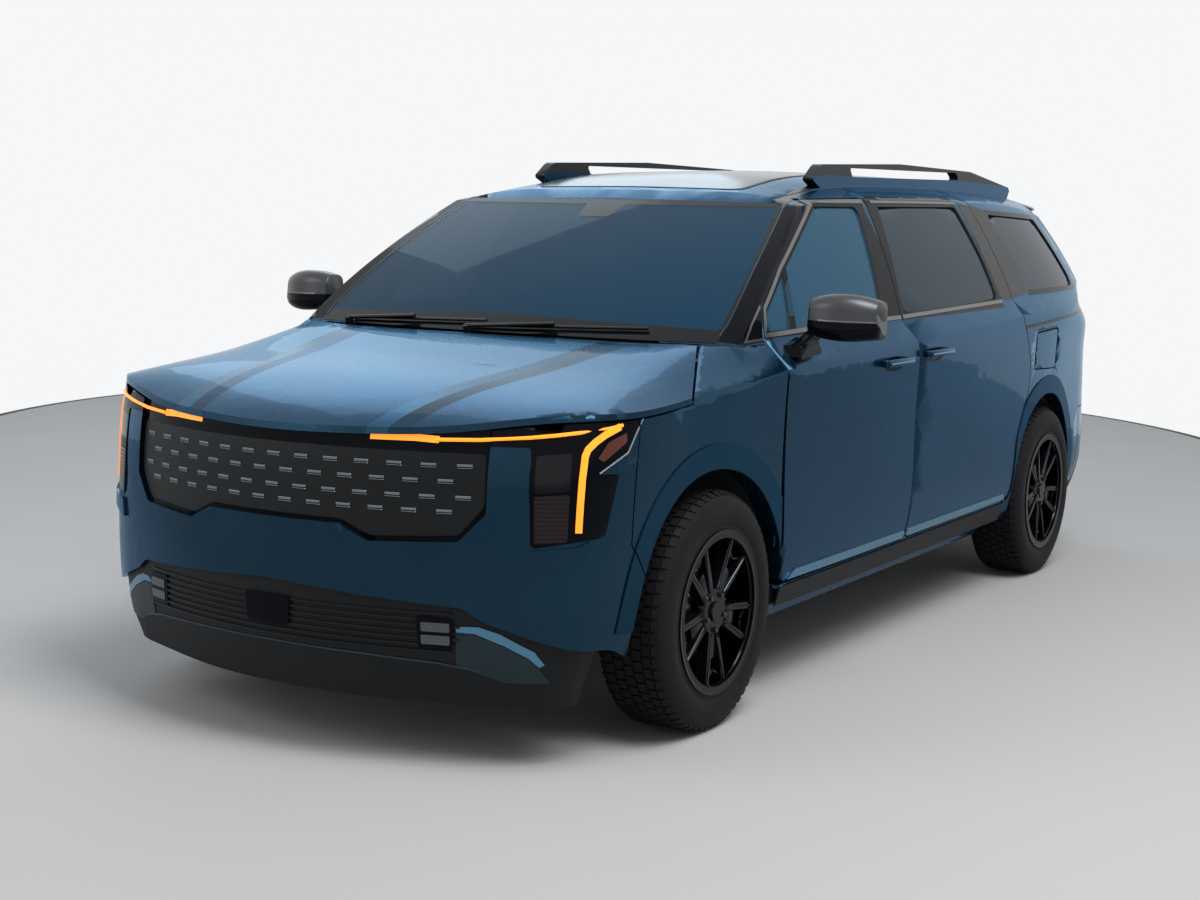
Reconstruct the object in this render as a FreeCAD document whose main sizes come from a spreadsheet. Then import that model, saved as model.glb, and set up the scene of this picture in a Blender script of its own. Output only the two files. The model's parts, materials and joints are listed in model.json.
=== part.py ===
"""Minivan: body shell, closures, running gear and cabin as separate solids.

Millimetres. +X points to the nose, +Y to the driver's left, +Z up.
The origin lies on the ground, midway between nose and tail.
"""
import FreeCAD, Part
import math
import os
import Sketcher
from FreeCAD import Placement, Rotation, Vector

SIZES = {
    # Overall sizes and wheels
    "overall_length": 5156,
    "body_width": 1994,
    "roof_height": 1740,
    "wheelbase": 3090,
    "front_overhang": 935,
    "track_half": 868,
    "tyre_radius": 370,
    "tyre_width": 235,
    "rim_radius": 250,
    "rim_wall": 9,
    "hub_radius": 68,
    "arch_radius": 435,
    "liner_wall": 5,
    "kingpin_inset": 40,
    # Body shell
    "body_wall": 60,
    "panel_wall": 28,
    "hood_wall": 18,
    "glass_wall": 5,
    "glass_inset": 6,
    "shut_gap": 6,
    "swing_gap": 7,
    "seat_gap": 0.3,
    "door_bottom": 384,
    "sill_bottom": 305,
    "door_front": 1211,
    "fender_rear": 1226,
    "door_split": 150,
    "slide_rear": -1040,
    "door_top": 1622,
    "floor_height": 285,
    "floor_wall": 45,
    # Hinges
    "door_hinge_x": 1190,
    "door_hinge_y": 935,
    "gate_hinge_x": -2010,
    "gate_hinge_z": 1655,
    "hood_hinge_x": 1360,
    "hood_hinge_z": 1120,
    "fuel_hinge_x": -1256,
    "fuel_hinge_y": 974,
    "pin_radius": 6,
    "fuel_front": -1224,
    "fuel_rear": -1524,
    "fuel_low": 915,
    "fuel_high": 1078,
}

doc = FreeCAD.newDocument("minivan")
sheet = doc.addObject("Spreadsheet::Sheet", "Sizes")
for row, (alias, number) in enumerate(SIZES.items(), start=1):
    sheet.set(f"A{row}", alias)
    sheet.set(f"B{row}", str(number))
    sheet.setAlias(f"B{row}", alias)
doc.recompute()


def size(alias):
    """Read one driving size from the sheet."""
    return float(sheet.get(alias))


NOSE = size("overall_length") / 2
TAIL = -NOSE
FRONT_AXLE = NOSE - size("front_overhang")
REAR_AXLE = FRONT_AXLE - size("wheelbase")
HALF_WIDTH = size("body_width") / 2
WALL = size("body_wall")
GAP = size("shut_gap")
SEAT_GAP = size("seat_gap")
HINGE_X = size("door_hinge_x")
HINGE_Y = size("door_hinge_y")
WHEEL_Z = size("tyre_radius")
FLOOR = size("floor_height")
DOOR_FRONT = size("door_front")
FENDER_REAR = size("fender_rear")
FOOT_FRONT = 1300
FOOT_SIDE = 840
DOOR_SPLIT = size("door_split")
SLIDE_REAR = size("slide_rear")
DOOR_BOTTOM = size("door_bottom")
DOOR_TOP = size("door_top")
ROOF = size("roof_height")

made = []


def add(label, shape):
    """Put a finished shape into the document as its own sub-part."""
    feature = doc.addObject("Part::Feature", label)
    feature.Label = label
    feature.Shape = shape
    made.append(feature)
    return feature


def mirrored(shape):
    """The same shape on the other side of the car."""
    return shape.mirror(Vector(0, 0, 0), Vector(0, 1, 0))


def add_pair(name, shape):
    """A left-hand sub-part and its right-hand mirror image."""
    add(name + "_left", shape)
    add(name + "_right", mirrored(shape))


def both_sides(shape):
    """One shape that holds the left piece and its mirror image, apart."""
    return Part.makeCompound(shape.Solids + mirrored(shape).Solids)


def across(shape):
    """The left half joined to its mirror image at the centre plane."""
    return shape.fuse(mirrored(shape)).removeSplitter()


def box(x0, x1, y0, y1, z0, z1):
    """A block between two opposite corners."""
    return Part.makeBox(x1 - x0, y1 - y0, z1 - z0, Vector(x0, y0, z0))


def cylinder(axis, centre, radius, low, high):
    """A cylinder about an axis letter, from low to high along it."""
    direction = {"x": Vector(1, 0, 0), "y": Vector(0, 1, 0), "z": Vector(0, 0, 1)}[axis]
    base = Vector(*centre) + direction * low
    return Part.makeCylinder(radius, high - low, base, direction)


def rounded_wire(corners, place):
    """A closed outline of (u, v, radius) corners, placed by a function of (u, v)."""
    edges = []
    count = len(corners)
    starts = []
    ends = []
    for index in range(count):
        here = Vector(corners[index][0], corners[index][1], 0)
        before = Vector(*corners[index - 1][:2], 0)
        after = Vector(*corners[(index + 1) % count][:2], 0)
        radius = corners[index][2] if len(corners[index]) > 2 else 0
        into = (here - before).normalize()
        out = (after - here).normalize()
        turn = into.getAngle(out)
        reach = radius * math.tan(turn / 2) if radius else 0
        starts.append(here - into * reach)
        ends.append(here + out * reach)
        if radius and turn > 0.001:
            inward = (out - into).normalize()
            middle = here + inward * (radius / math.cos(turn / 2) - radius)
            edges.append((starts[-1], middle, ends[-1]))
        else:
            edges.append(None)
    shapes = []
    for index in range(count):
        if edges[index]:
            first, middle, last = [place(point.x, point.y) for point in edges[index]]
            shapes.append(Part.Arc(first, middle, last).toShape())
        start = place(ends[index].x, ends[index].y)
        end = starts[(index + 1) % count]
        end = place(end.x, end.y)
        if start.distanceToPoint(end) > 0.01:
            shapes.append(Part.makeLine(start, end))
    return Part.Wire(shapes)


def side_prism(corners, low, high):
    """An outline in the XZ plane, extruded from y = low to y = high."""
    wire = rounded_wire(corners, lambda u, v: Vector(u, low, v))
    return Part.Face(wire).extrude(Vector(0, high - low, 0))


def front_prism(corners, low, high):
    """An outline in the YZ plane, extruded from x = low to x = high."""
    wire = rounded_wire(corners, lambda u, v: Vector(low, u, v))
    return Part.Face(wire).extrude(Vector(high - low, 0, 0))


def plan_prism(corners, low, high):
    """An outline in the XY plane, extruded from z = low to z = high."""
    wire = rounded_wire(corners, lambda u, v: Vector(u, v, low))
    return Part.Face(wire).extrude(Vector(0, 0, high - low))


def graded(value, stations):
    """Straight-line reading of a short list of (place, value) stations."""
    stations = sorted(stations)
    if value <= stations[0][0]:
        return stations[0][1]
    for (low, at_low), (high, at_high) in zip(stations, stations[1:]):
        if value <= high:
            return at_low + (at_high - at_low) * (value - low) / (high - low)
    return stations[-1][1]


def spline(points, start=None, end=None):
    """A smooth edge through the points, with optional end directions."""
    curve = Part.BSplineCurve()
    if start:
        curve.interpolate(Points=points, InitialTangent=start, FinalTangent=end)
    else:
        curve.interpolate(Points=points)
    return curve.toShape()


# The lower body is a stack of plan outlines. At each height the nose and the
# tail stand back from the overall length and the flank from the widest line.
LEVELS = [
    (150, 80, 95, 105),
    (260, 28, 45, 62),
    (350, 6, 15, 32),
    (450, 1, 1, 14),
    (600, 1, 1, 9),
    (750, 8, 12, 10),
    (900, 22, 32, 7),
    (1000, 42, 45, 3),
    (1100, 75, 62, 0),
    (1280, 140, 95, 0),
    (1850, 300, 130, 0),
]
FLANK = HALF_WIDTH - 5


def lower_body(inset):
    """Left half of the lower body, brought in by inset all round."""
    wires = []
    for height, nose_back, tail_back, flank_in in LEVELS:
        nose = NOSE - nose_back - inset
        tail = TAIL + tail_back + inset
        flank = FLANK - flank_in - inset
        points = [
            (nose, 0),
            (nose - 42, 350),
            (nose - 144, 650),
            (nose - 232, 815 - inset),
            (nose - 290, 885 - flank_in / 2 - inset),
            (nose - 370, flank - 64),
            (nose - 470, flank - 45),
            (FRONT_AXLE + 164, flank - 36),
            (FRONT_AXLE, flank - 26),
            (DOOR_FRONT, flank - 7),
            (DOOR_SPLIT, flank),
            (SLIDE_REAR, flank - 2),
            (REAR_AXLE - 60, flank - 11),
            (REAR_AXLE - 450, flank - 40),
            (tail + 420, flank - 68),
            (tail + 260, flank - 125),
            (tail + 150, 770 - inset),
            (tail + 60, 560),
            (tail + 12, 280),
            (tail, 0),
        ]
        outline = [Vector(x, y, height) for x, y in points]
        edge = spline(outline, Vector(0, 1, 0), Vector(0, -1, 0))
        wires.append(Part.Wire([edge, Part.makeLine(outline[-1], outline[0])]))
    return Part.makeLoft(wires, True)


# Hood and front wings: height of the centre line, of the hood's shoulder, of
# the crease along the flank and of a point outside the flank.
HOOD_SECTIONS = [
    (NOSE + 80, 905, 885, 855, 810),
    (NOSE - 33, 958, 915, 870, 830),
    (NOSE - 128, 1000, 968, 910, 880),
    (NOSE - 238, 1030, 1012, 975, 940),
    (NOSE - 428, 1066, 1053, 1012, 975),
    (FRONT_AXLE + 164, 1112, 1101, 1033, 985),
    (FRONT_AXLE, 1140, 1131, 1047, 994),
    (FRONT_AXLE - 143, 1160, 1154, 1059, 1002),
    (FRONT_AXLE - 393, 1188, 1178, 1079, 1010),
    (FRONT_AXLE - 543, 1205, 1190, 1090, 1015),
]
# Rear of the hood: x, and the place (y, z) where the wing's top turns down.
WING_TOP = {
    FRONT_AXLE: (828, 1108),
    FRONT_AXLE - 143: (804, 1142),
    FRONT_AXLE - 393: (880, 1166),
    FRONT_AXLE - 543: (900, 1172),
}
BASE = 100


def hood_block(drop):
    """Left half of the space under the hood and wing surface."""
    wires = []
    for x, centre, shoulder, crease, outside in HOOD_SECTIONS:
        edge_y = graded(x, [(NOSE - 428, 947), (FRONT_AXLE + 164, 956), (FRONT_AXLE - 393, 984)])
        turn_z = shoulder * 0.42 + crease * 0.58 + (shoulder - crease) * 0.18
        turn_y, turn_z = WING_TOP.get(x, (850, turn_z))
        points = [
            Vector(x, 0, centre - drop),
            Vector(x, 330, centre - (centre - shoulder) * 0.3 - drop),
            Vector(x, 640, shoulder - drop),
            Vector(x, turn_y, turn_z - drop),
            Vector(x, edge_y, crease - drop),
            Vector(x, 1060, outside - drop),
        ]
        top = spline(points, Vector(0, 1, 0), (points[-1] - points[-2]).normalize())
        low_in = Vector(x, 0, BASE)
        low_out = Vector(x, 1060, BASE)
        wires.append(Part.Wire([
            Part.makeLine(low_in, points[0]), top,
            Part.makeLine(points[-1], low_out), Part.makeLine(low_out, low_in)]))
    return Part.makeLoft(wires, True)


# Cabin: x, roof centre height, window top (y, z), belt (y, z), crease (y, z)
CABIN_SECTIONS = [
    (1700, 1500, 700, 1480, 828, 1150, 940, 1048),
    (1381, 1530, 716, 1500, 866, 1163, 972, 1065),
    (1217, 1560, 724, 1525, 890, 1167, 983, 1081),
    (900, 1603, 731, 1566, 912, 1175, 988, 1093),
    (565, 1652, 728, 1604, 924, 1184, 990, 1104),
    (250, 1706, 727, 1621, 929, 1193, 991, 1115),
    (-200, 1735, 727, 1629, 930, 1206, 991, 1130),
    (-762, ROOF, 724, 1631, 928, 1218, 990, 1147),
    (-1400, 1728, 716, 1621, 919, 1231, 983, 1158),
    (-1812, 1704, 702, 1600, 899, 1239, 962, 1163),
    (-2100, 1682, 684, 1570, 868, 1243, 925, 1166),
    (-2350, 1660, 660, 1540, 822, 1247, 880, 1168),
    (-2700, 1630, 612, 1500, 740, 1250, 810, 1170),
]
RAIL_Y = 600


def cabin_block(inset):
    """Left half of the space inside the roof, window and shoulder surfaces."""
    wires = []
    for x, roof, top_y, top_z, belt_y, belt_z, crease_y, crease_z in CABIN_SECTIONS:
        drop = roof - top_z
        crown = [
            Vector(x, 0, roof - inset),
            Vector(x, 300, roof - drop * 0.07 - inset),
            Vector(x, 520, roof - drop * 0.25 - inset),
            Vector(x, RAIL_Y, roof - drop * 0.48 - inset),
            Vector(x, top_y - inset, top_z - inset * 0.35),
        ]
        belt = Vector(x, belt_y - inset, belt_z)
        middle = (crown[-1] + belt) * 0.5 + Vector(0, 11, 0)
        reach = Vector(0, crease_y - belt_y, crease_z - belt_z)
        outside = belt + reach * 1.9
        low_out = Vector(x, outside.y, BASE)
        low_in = Vector(x, 0, BASE)
        roof_edge = spline(crown, Vector(0, 1, 0), (crown[-1] - crown[-2]).normalize())
        wires.append(Part.Wire([
            Part.makeLine(low_in, crown[0]), roof_edge,
            spline([crown[-1], middle, belt]), Part.makeLine(belt, outside),
            Part.makeLine(outside, low_out), Part.makeLine(low_out, low_in)]))
    return Part.makeLoft(wires, True)


def bowed_surface(rows, half_span):
    """A surface through rows of (z, x at the centre, bow), bowed across the car."""
    poles = []
    for height, centre, bow in rows:
        sag = bow * half_span ** 2
        poles.append([
            Vector(centre - sag, -half_span, height),
            Vector(centre + sag, 0, height),
            Vector(centre - sag, half_span, height)])
    surface = Part.BSplineSurface()
    ends = [len(rows), len(rows)]
    surface.buildFromPolesMultsKnots(
        poles, ends, [3, 3], [0, 1], [0, 1], False, False, len(rows) - 1, 2)
    return surface.toShape()


WIND_ROWS = [(950, 1708, 1.4e-4), (1400, 1259, 1.4e-4), (1850, 146, 1.4e-4)]
REAR_ROWS = [(1000, -2640, -2.4e-4), (1400, -2362, -2.9e-4), (1800, -2045, -3.4e-4)]


def windshield_space(back):
    """Everything ahead of the windshield's outer surface moved back."""
    sheet_face = bowed_surface(WIND_ROWS, 1100)
    normal = Vector(0.5, 0, 0.866)
    sheet_face.translate(normal * -back)
    return sheet_face.extrude(Vector(3000, 0, 0))


def rear_space(forward):
    """Everything behind the tailgate's outer surface moved forward."""
    sheet_face = bowed_surface(REAR_ROWS, 1100)
    normal = Vector(0.8, 0, -0.6)
    sheet_face.translate(normal * forward)
    return sheet_face.extrude(Vector(-1500, 0, 0))


def cabin_space(inset, wind_back=0, rear_forward=0):
    """Left half of the closed cabin volume."""
    space = lower_body(inset).common(cabin_block(inset))
    space = space.cut(windshield_space(wind_back))
    return space.cut(rear_space(rear_forward))


CABIN_OUT = cabin_space(0)
CABIN_IN = cabin_space(WALL, WALL, WALL)
SIDE_SHELL = CABIN_OUT.cut(CABIN_IN)
FRONT_OUT = lower_body(0).common(hood_block(0))
FRONT_IN = lower_body(WALL).common(hood_block(WALL))
GLASS_OUT = cabin_space(size("glass_inset"), size("glass_inset"), size("glass_inset"))
GLASS_IN = cabin_space(
    size("glass_inset") + size("glass_wall"),
    size("glass_inset") + size("glass_wall"),
    size("glass_inset") + size("glass_wall"))
GLASS_SHELL = GLASS_OUT.cut(GLASS_IN)
OUTSIDE_Y = 1120
INSIDE_Y = 560
ROOF_HALF = 610


def leaning_prism(corners, grow=0):
    """A side outline whose faces lean with depth.

    Each corner is (x, z, corner radius, outer y, lean): going inboard from
    the outer y, the corner moves forward by lean for each millimetre.
    """
    flat = offset_outline([(x, z) for x, z, radius, outer, lean in corners], grow)
    wires = []
    for plane in (OUTSIDE_Y, INSIDE_Y):
        shifted = []
        for (x, z), (_, _, radius, outer, lean) in zip(flat, corners):
            shifted.append((x + lean * (outer - plane), z, radius))
        wires.append(rounded_wire(shifted, lambda u, v, y=plane: Vector(u, y, v)))
    return Part.makeLoft(wires, True, True)


def offset_outline(points, grow):
    """The polygon with every side moved outwards by grow."""
    if not grow:
        return points
    area = 0
    count = len(points)
    for index in range(count):
        x0, z0 = points[index]
        x1, z1 = points[(index + 1) % count]
        area += x0 * z1 - x1 * z0
    sign = 1 if area > 0 else -1
    moved = []
    for index in range(count):
        before = Vector(*points[index - 1], 0)
        here = Vector(*points[index], 0)
        after = Vector(*points[(index + 1) % count], 0)
        into = (here - before).normalize()
        out = (after - here).normalize()
        normal_in = Vector(into.y, -into.x, 0) * sign
        normal_out = Vector(out.y, -out.x, 0) * sign
        bisector = (normal_in + normal_out).normalize()
        step = bisector * (grow / bisector.dot(normal_in))
        moved.append((here.x + step.x, here.y + step.y))
    return moved


LEAN = 0.27
FRONT_DOOR = [
    (DOOR_FRONT - 16, DOOR_BOTTOM, 45, 965, 0),
    (DOOR_FRONT, 960, 0, 985, 0),
    (DOOR_FRONT + 2, 1082, 0, 985, 0),
    (DOOR_FRONT + 2, 1168, 10, 928, 0),
    (1172, 1274, 30, 850, 0),
    (976, 1402, 200, 815, 0),
    (775, 1509, 200, 775, 0),
    (540, DOOR_TOP - 4, 40, 725, 0),
    (DOOR_SPLIT - 72, DOOR_TOP + 6, 25, 727, LEAN),
    (DOOR_SPLIT + 22, 1190, 90, 930, LEAN),
    (DOOR_SPLIT - 28, 1020, 90, 990, LEAN),
    (DOOR_SPLIT - 28, 640, 90, 985, LEAN),
    (DOOR_SPLIT + 18, DOOR_BOTTOM + 4, 45, 968, LEAN),
]
SLIDING_DOOR = [
    (DOOR_SPLIT + 12, DOOR_BOTTOM + 4, 45, 968, LEAN),
    (DOOR_SPLIT - 34, 640, 90, 985, LEAN),
    (DOOR_SPLIT - 34, 1020, 90, 990, LEAN),
    (DOOR_SPLIT + 16, 1190, 90, 930, LEAN),
    (DOOR_SPLIT - 78, DOOR_TOP + 6, 60, 727, LEAN),
    (DOOR_SPLIT - 120, 1690, 40, 680, 0),
    (-880, 1694, 60, 680, 0),
    (-1015, 1628, 40, 722, 0),
    (SLIDE_REAR - 30, 1228, 60, 927, 0),
    (SLIDE_REAR, 1150, 60, 990, 0),
    (SLIDE_REAR - 125, 960, 60, 988, 0),
    (SLIDE_REAR - 125, 840, 60, 988, 0),
    (SLIDE_REAR + 5, 640, 160, 985, 0),
    (SLIDE_REAR + 40, DOOR_BOTTOM + 12, 45, 968, 0),
]
FRONT_WINDOW = [
    (1186, 1194, 12), (1150, 1254, 20), (965, 1373, 200), (765, 1479, 200), (530, 1598, 25),
    (177, 1600, 25), (322, 1212, 25),
]
SLIDING_WINDOW = [
    (138, 1212, 25), (-8, 1602, 25), (-831, 1608, 30), (-880, 1400, 300), (-890, 1235, 20),
]
QUARTER_WINDOW = [
    (-1180, 1580, 25), (-1890, 1560, 30), (-2085, 1260, 30), (-1330, 1258, 30),
]


def side_window(corners, grow=0):
    """A window opening through the left side."""
    flat = offset_outline([(x, z) for x, z, radius in corners], grow)
    rounded = [(x, z, radius) for (x, z), (_, _, radius) in zip(flat, corners)]
    return side_prism(rounded, INSIDE_Y, OUTSIDE_Y)


def door_swing(radius, low, high):
    """The upright cylinder that a door's leading edge sweeps."""
    return cylinder("z", (HINGE_X, HINGE_Y, 0), radius, low, high)


LEADING_REACH = math.hypot(DOOR_FRONT + 2 - HINGE_X, FLANK - HINGE_Y) + 0.5
SHOULDER_Z = 1085


def wheel_arch(x, radius, low=500, high=1200):
    """The round opening of a wheel arch."""
    return cylinder("y", (x, 0, WHEEL_Z), radius, low, high)


def hood_plan(inset):
    """The hood's outline seen from above, brought in by inset.

    In front and at the sides it lies outside the body, whose skin trims it.
    """
    nose = NOSE - 5 - inset
    half = [
        Vector(nose, 0, 0), Vector(nose - 42, 350, 0), Vector(nose - 144, 650, 0),
        Vector(nose - 218, 830, 0), Vector(nose - 280, 915 - inset, 0),
        Vector(nose - 370, 962 - inset, 0), Vector(nose - 470, 980 - inset, 0),
        Vector(1880, 992 - inset, 0)]
    front = spline(half, Vector(0, 1, 0), Vector(-1, 0, 0))
    corner = Vector(1446 + inset, 772 - inset, 0)
    side = Part.makeLine(half[-1], corner)
    middle = Vector(1510 + inset, 0, 0)
    rear = Part.Arc(corner, Vector(1494 + inset, 386, 0), middle).toShape()
    closing = Part.makeLine(middle, half[0])
    face = Part.Face(Part.Wire([front, side, rear, closing]))
    face.translate(Vector(0, 0, 700))
    return face.extrude(Vector(0, 0, 700))


HOOD_WALL = size("hood_wall")
hood_under = lower_body(0).common(hood_block(HOOD_WALL))
hood_skin = FRONT_OUT.cut(hood_under)
hood_room = FRONT_OUT.cut(lower_body(0).common(hood_block(HOOD_WALL + GAP)))
HOOD_SPACE = hood_plan(-GAP - 0.6).common(hood_room)
HOOD_LEDGE = 62
PIN = size("pin_radius")
PIN_FIT = size("seat_gap")
HOOD_HINGE = (size("hood_hinge_x"), 0, size("hood_hinge_z"))
HOOD_ARM_LOW = 655
HOOD_ARM_HIGH = 667


def make_hood():
    """The hood: one curved panel on two gooseneck hinge arms."""
    panel = hood_plan(0).common(hood_skin)
    x, _, z = HOOD_HINGE
    order = [
        (x - 14, z + 6, 5), (x + 8, z + 12, 5), (x + 50, z - 45, 20), (x + 85, z - 66, 15),
        (x + 142, z - 44, 15), (x + 170, z + 60), (x + 205, z + 60), (x + 165, z - 62, 20),
        (x + 85, z - 84, 20), (x + 35, z - 70, 20), (x - 14, z - 10, 5)]
    arm = side_prism(order, HOOD_ARM_LOW, HOOD_ARM_HIGH)
    under = lower_body(0).common(hood_block(HOOD_WALL - 2))
    low_part = arm.common(box(x - 50, x + 400, 600, 700, 900, z + 18))
    arm = low_part.fuse(arm.common(under))
    arm = arm.cut(cylinder("y", HOOD_HINGE, PIN + PIN_FIT, 600, 700))
    arm = sorted(arm.Solids, key=lambda solid: -solid.Volume)[0]
    add("hood", across(panel).fuse([arm, mirrored(arm)]))


HINGE_HEIGHTS = (520, 900)
# Across the car, y and z: the room that the side doors' walls may take.
DOOR_WALL_SPACE = front_prism([
    (OUTSIDE_Y, 200), (OUTSIDE_Y, 1700), (650, 1700), (650, 1625), (752, 1392), (828, 1164), (864, 1060),
    (864, 200)],
    -1500, 1500)


def door_strap(height):
    """A hinge strap from the hinge post to the pin of the front door."""
    plan = [
        (HINGE_X - 12, HINGE_Y, 4), (HINGE_X - 10, HINGE_Y + 10, 6), (HINGE_X + 10, HINGE_Y + 10, 6),
        (HINGE_X + 10, HINGE_Y - 90), (HINGE_X - 20, HINGE_Y - 90)]
    strap = plan_prism(plan, height - 16, height + 16)
    return strap.cut(cylinder("z", (HINGE_X, HINGE_Y, 0), PIN + PIN_FIT, 0, 1400))


def make_front_door():
    """Front door shell with its window frame, the glass and the divider bar."""
    opening = side_window(FRONT_WINDOW)
    region = leaning_prism(FRONT_DOOR)
    door = SIDE_SHELL.common(region).common(DOOR_WALL_SPACE).cut(opening)
    ahead = box(HINGE_X, HINGE_X + 300, 500, 1200, 200, SHOULDER_Z)
    door = door.cut(ahead.cut(door_swing(LEADING_REACH, 100, 1300)))
    bar = side_prism([(1042, 1170), (1002, 1170), (910, 1440), (936, 1440)], INSIDE_Y, OUTSIDE_Y)
    frame_bar = opening.common(bar).common(SIDE_SHELL).common(DOOR_WALL_SPACE)
    glass_space = side_window(FRONT_WINDOW, -SEAT_GAP).cut(bar)
    door = door.fuse(frame_bar)
    for height in HINGE_HEIGHTS:
        door = door.cut(box(HINGE_X - 20, HINGE_X + 60, 900, 964, height - 22, height + 22))
        door = door.fuse(cylinder("z", (HINGE_X, HINGE_Y, 0), PIN, height - 24, height + 24).fuse(
            [box(HINGE_X - 10, HINGE_X + 10, HINGE_Y - PIN, HINGE_Y + 20, height + step, height + step + 8)
             for step in (-30, 22)]))
    add_pair("front_door", door)
    add_pair("front_door_glass", GLASS_SHELL.common(glass_space).common(DOOR_WALL_SPACE))


def make_sliding_door():
    """Sliding door shell. It moves out and then back, so it has no joint."""
    door = SIDE_SHELL.common(leaning_prism(SLIDING_DOOR))
    door = door.cut(box(-1500, 500, 0, ROOF_HALF + GAP, 1500, 1850))
    door = door.cut(side_window(SLIDING_WINDOW))
    add_pair("sliding_door", door)


def make_rear_side_glass():
    """Glass of the sliding doors and of the rear quarters."""
    panes = []
    for corners in (SLIDING_WINDOW, QUARTER_WINDOW):
        panes += GLASS_SHELL.common(side_window(corners, -SEAT_GAP)).Solids
    add("rear_side_glass", both_sides(Part.makeCompound(panes)))


def fuel_outline(grow):
    """The fuel door's outline on the left quarter."""
    front = size("fuel_front")
    rear = size("fuel_rear")
    low = size("fuel_low")
    high = size("fuel_high")
    corners = [(front, low + 12, 18), (front + 6, high, 18), (rear, high + 8, 18), (rear - 4, low, 18)]
    flat = offset_outline([(x, z) for x, z, radius in corners], grow)
    return [(x, z, radius) for (x, z), (_, _, radius) in zip(flat, corners)]


BUMPER_TOP = 700
GATE_HALF = 745
GATE_SIDE = [
    (-3000, BUMPER_TOP), (-2478, BUMPER_TOP), (-2420, 900), (-2350, 1120),
    (-2262, 1240), (-2010, 1600), (-2010, 1800), (-3000, 1800),
]
GATE_HINGE_X = size("gate_hinge_x")
GATE_HINGE_Z = size("gate_hinge_z")
GATE_REACH = 62
HINGE_LOW = 430
HINGE_HIGH = 444


def gate_swing(radius):
    """The cylinder that the tailgate's top edge sweeps about its hinge."""
    return cylinder("y", (GATE_HINGE_X, 0, GATE_HINGE_Z), radius, -10, 900)


def gate_hinge_plate():
    """The roof's hinge plate, which carries the tailgate's pin."""
    x = GATE_HINGE_X
    z = GATE_HINGE_Z
    plate = side_prism([
        (x + 5, z + 7), (x - 5, z - 7), (x + 45, z - 41, 8), (x + 85, z - 45), (x + 85, z + 40),
        (x + 58, z + 40), (x + 48, z - 20, 8)], HINGE_LOW, HINGE_HIGH)
    plate = plate.fuse(cylinder("y", (x, 0, z), PIN + 5, HINGE_LOW, HINGE_HIGH))
    return plate.fuse(cylinder("y", (x, 0, z), PIN, HINGE_LOW - 16, HINGE_HIGH + 16))


def gate_hinge_slot():
    """The room in the tailgate for the hinge plate and its pin."""
    x = GATE_HINGE_X
    z = GATE_HINGE_Z
    slot = side_prism([
        (x - 12, z + 8), (x + 8, z + 60), (x + 110, z + 60), (x + 110, z - 95), (x + 42, z - 46),
        (x - 8, z - 11), (x - 16, z)], HINGE_LOW - GAP, HINGE_HIGH + GAP)
    slot = slot.fuse(cylinder("y", (x, 0, z), PIN + 5 + GAP, HINGE_LOW - GAP, HINGE_HIGH + GAP))
    return slot.fuse(cylinder("y", (x, 0, z), PIN + PIN_FIT, HINGE_LOW - 18, HINGE_HIGH + 18))


def gate_region(grow):
    """Side outline of the tailgate, which wraps round the rear corners."""
    flat = offset_outline([(x, z) for x, z in GATE_SIDE], grow)
    return side_prism(flat, -1, 1200)


def tailgate_window(inset):
    """The tailgate's window opening, brought in by inset."""
    flat = offset_outline([(-1, 1240), (-1, 1592), (535, 1577), (672, 1250)], -inset)
    radii = [0, 0, 60, 60]
    return front_prism([(y, z, radius) for (y, z), radius in zip(flat, radii)], -3000, -1900)


def make_tailgate():
    """The tailgate with its roof spoiler, and its glass."""
    gate = SIDE_SHELL.common(gate_region(0).fuse(gate_swing(GATE_REACH)))
    spoiler_side = [(-2030, 1800), (-2345, 1800), (-2345, 1628), (-2200, 1598), (-2030, 1640)]
    spoiler = lower_body(0).common(cabin_block(0)).common(side_prism(spoiler_side, 0, ROOF_HALF))
    gate = gate.fuse(spoiler.cut(CABIN_IN))
    gate = gate.cut(tailgate_window(0))
    gate = gate.cut(gate_hinge_slot())
    gate_full = across(gate)
    add("tailgate", gate_full)
    normal = Vector(0.8, 0, -0.6)
    pane = bowed_surface(REAR_ROWS, 1100)
    pane.translate(normal * size("glass_inset"))
    pane = pane.extrude(normal * size("glass_wall"))
    pane = pane.common(tailgate_window(SEAT_GAP))
    add("tailgate_glass", across(pane))


SILL_INNER = 800
# The wings end below the pillars at this height.
WING_LINE = 1158
PILLAR_LEDGE = 38
above_wing = cabin_space(12, 12, WALL).common(box(1000, 1500, 0, 1200, WING_LINE + SEAT_GAP, 1300))
CABIN_FOOT = cabin_space(WALL + SEAT_GAP, 20, WALL).fuse(above_wing)


def tail_lamp_space(grow):
    """Outline of the lamp on the rear quarter, from the wheel arch side to the tailgate."""
    outline = [(-2160, 1108), (-2205, 1060), (-2480, 1010), (-2480, 1150), (-2175, 1150)]
    flat = offset_outline(outline, grow)
    return side_prism([(x, z, 12) for x, z in flat], 500, 1200)


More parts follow.
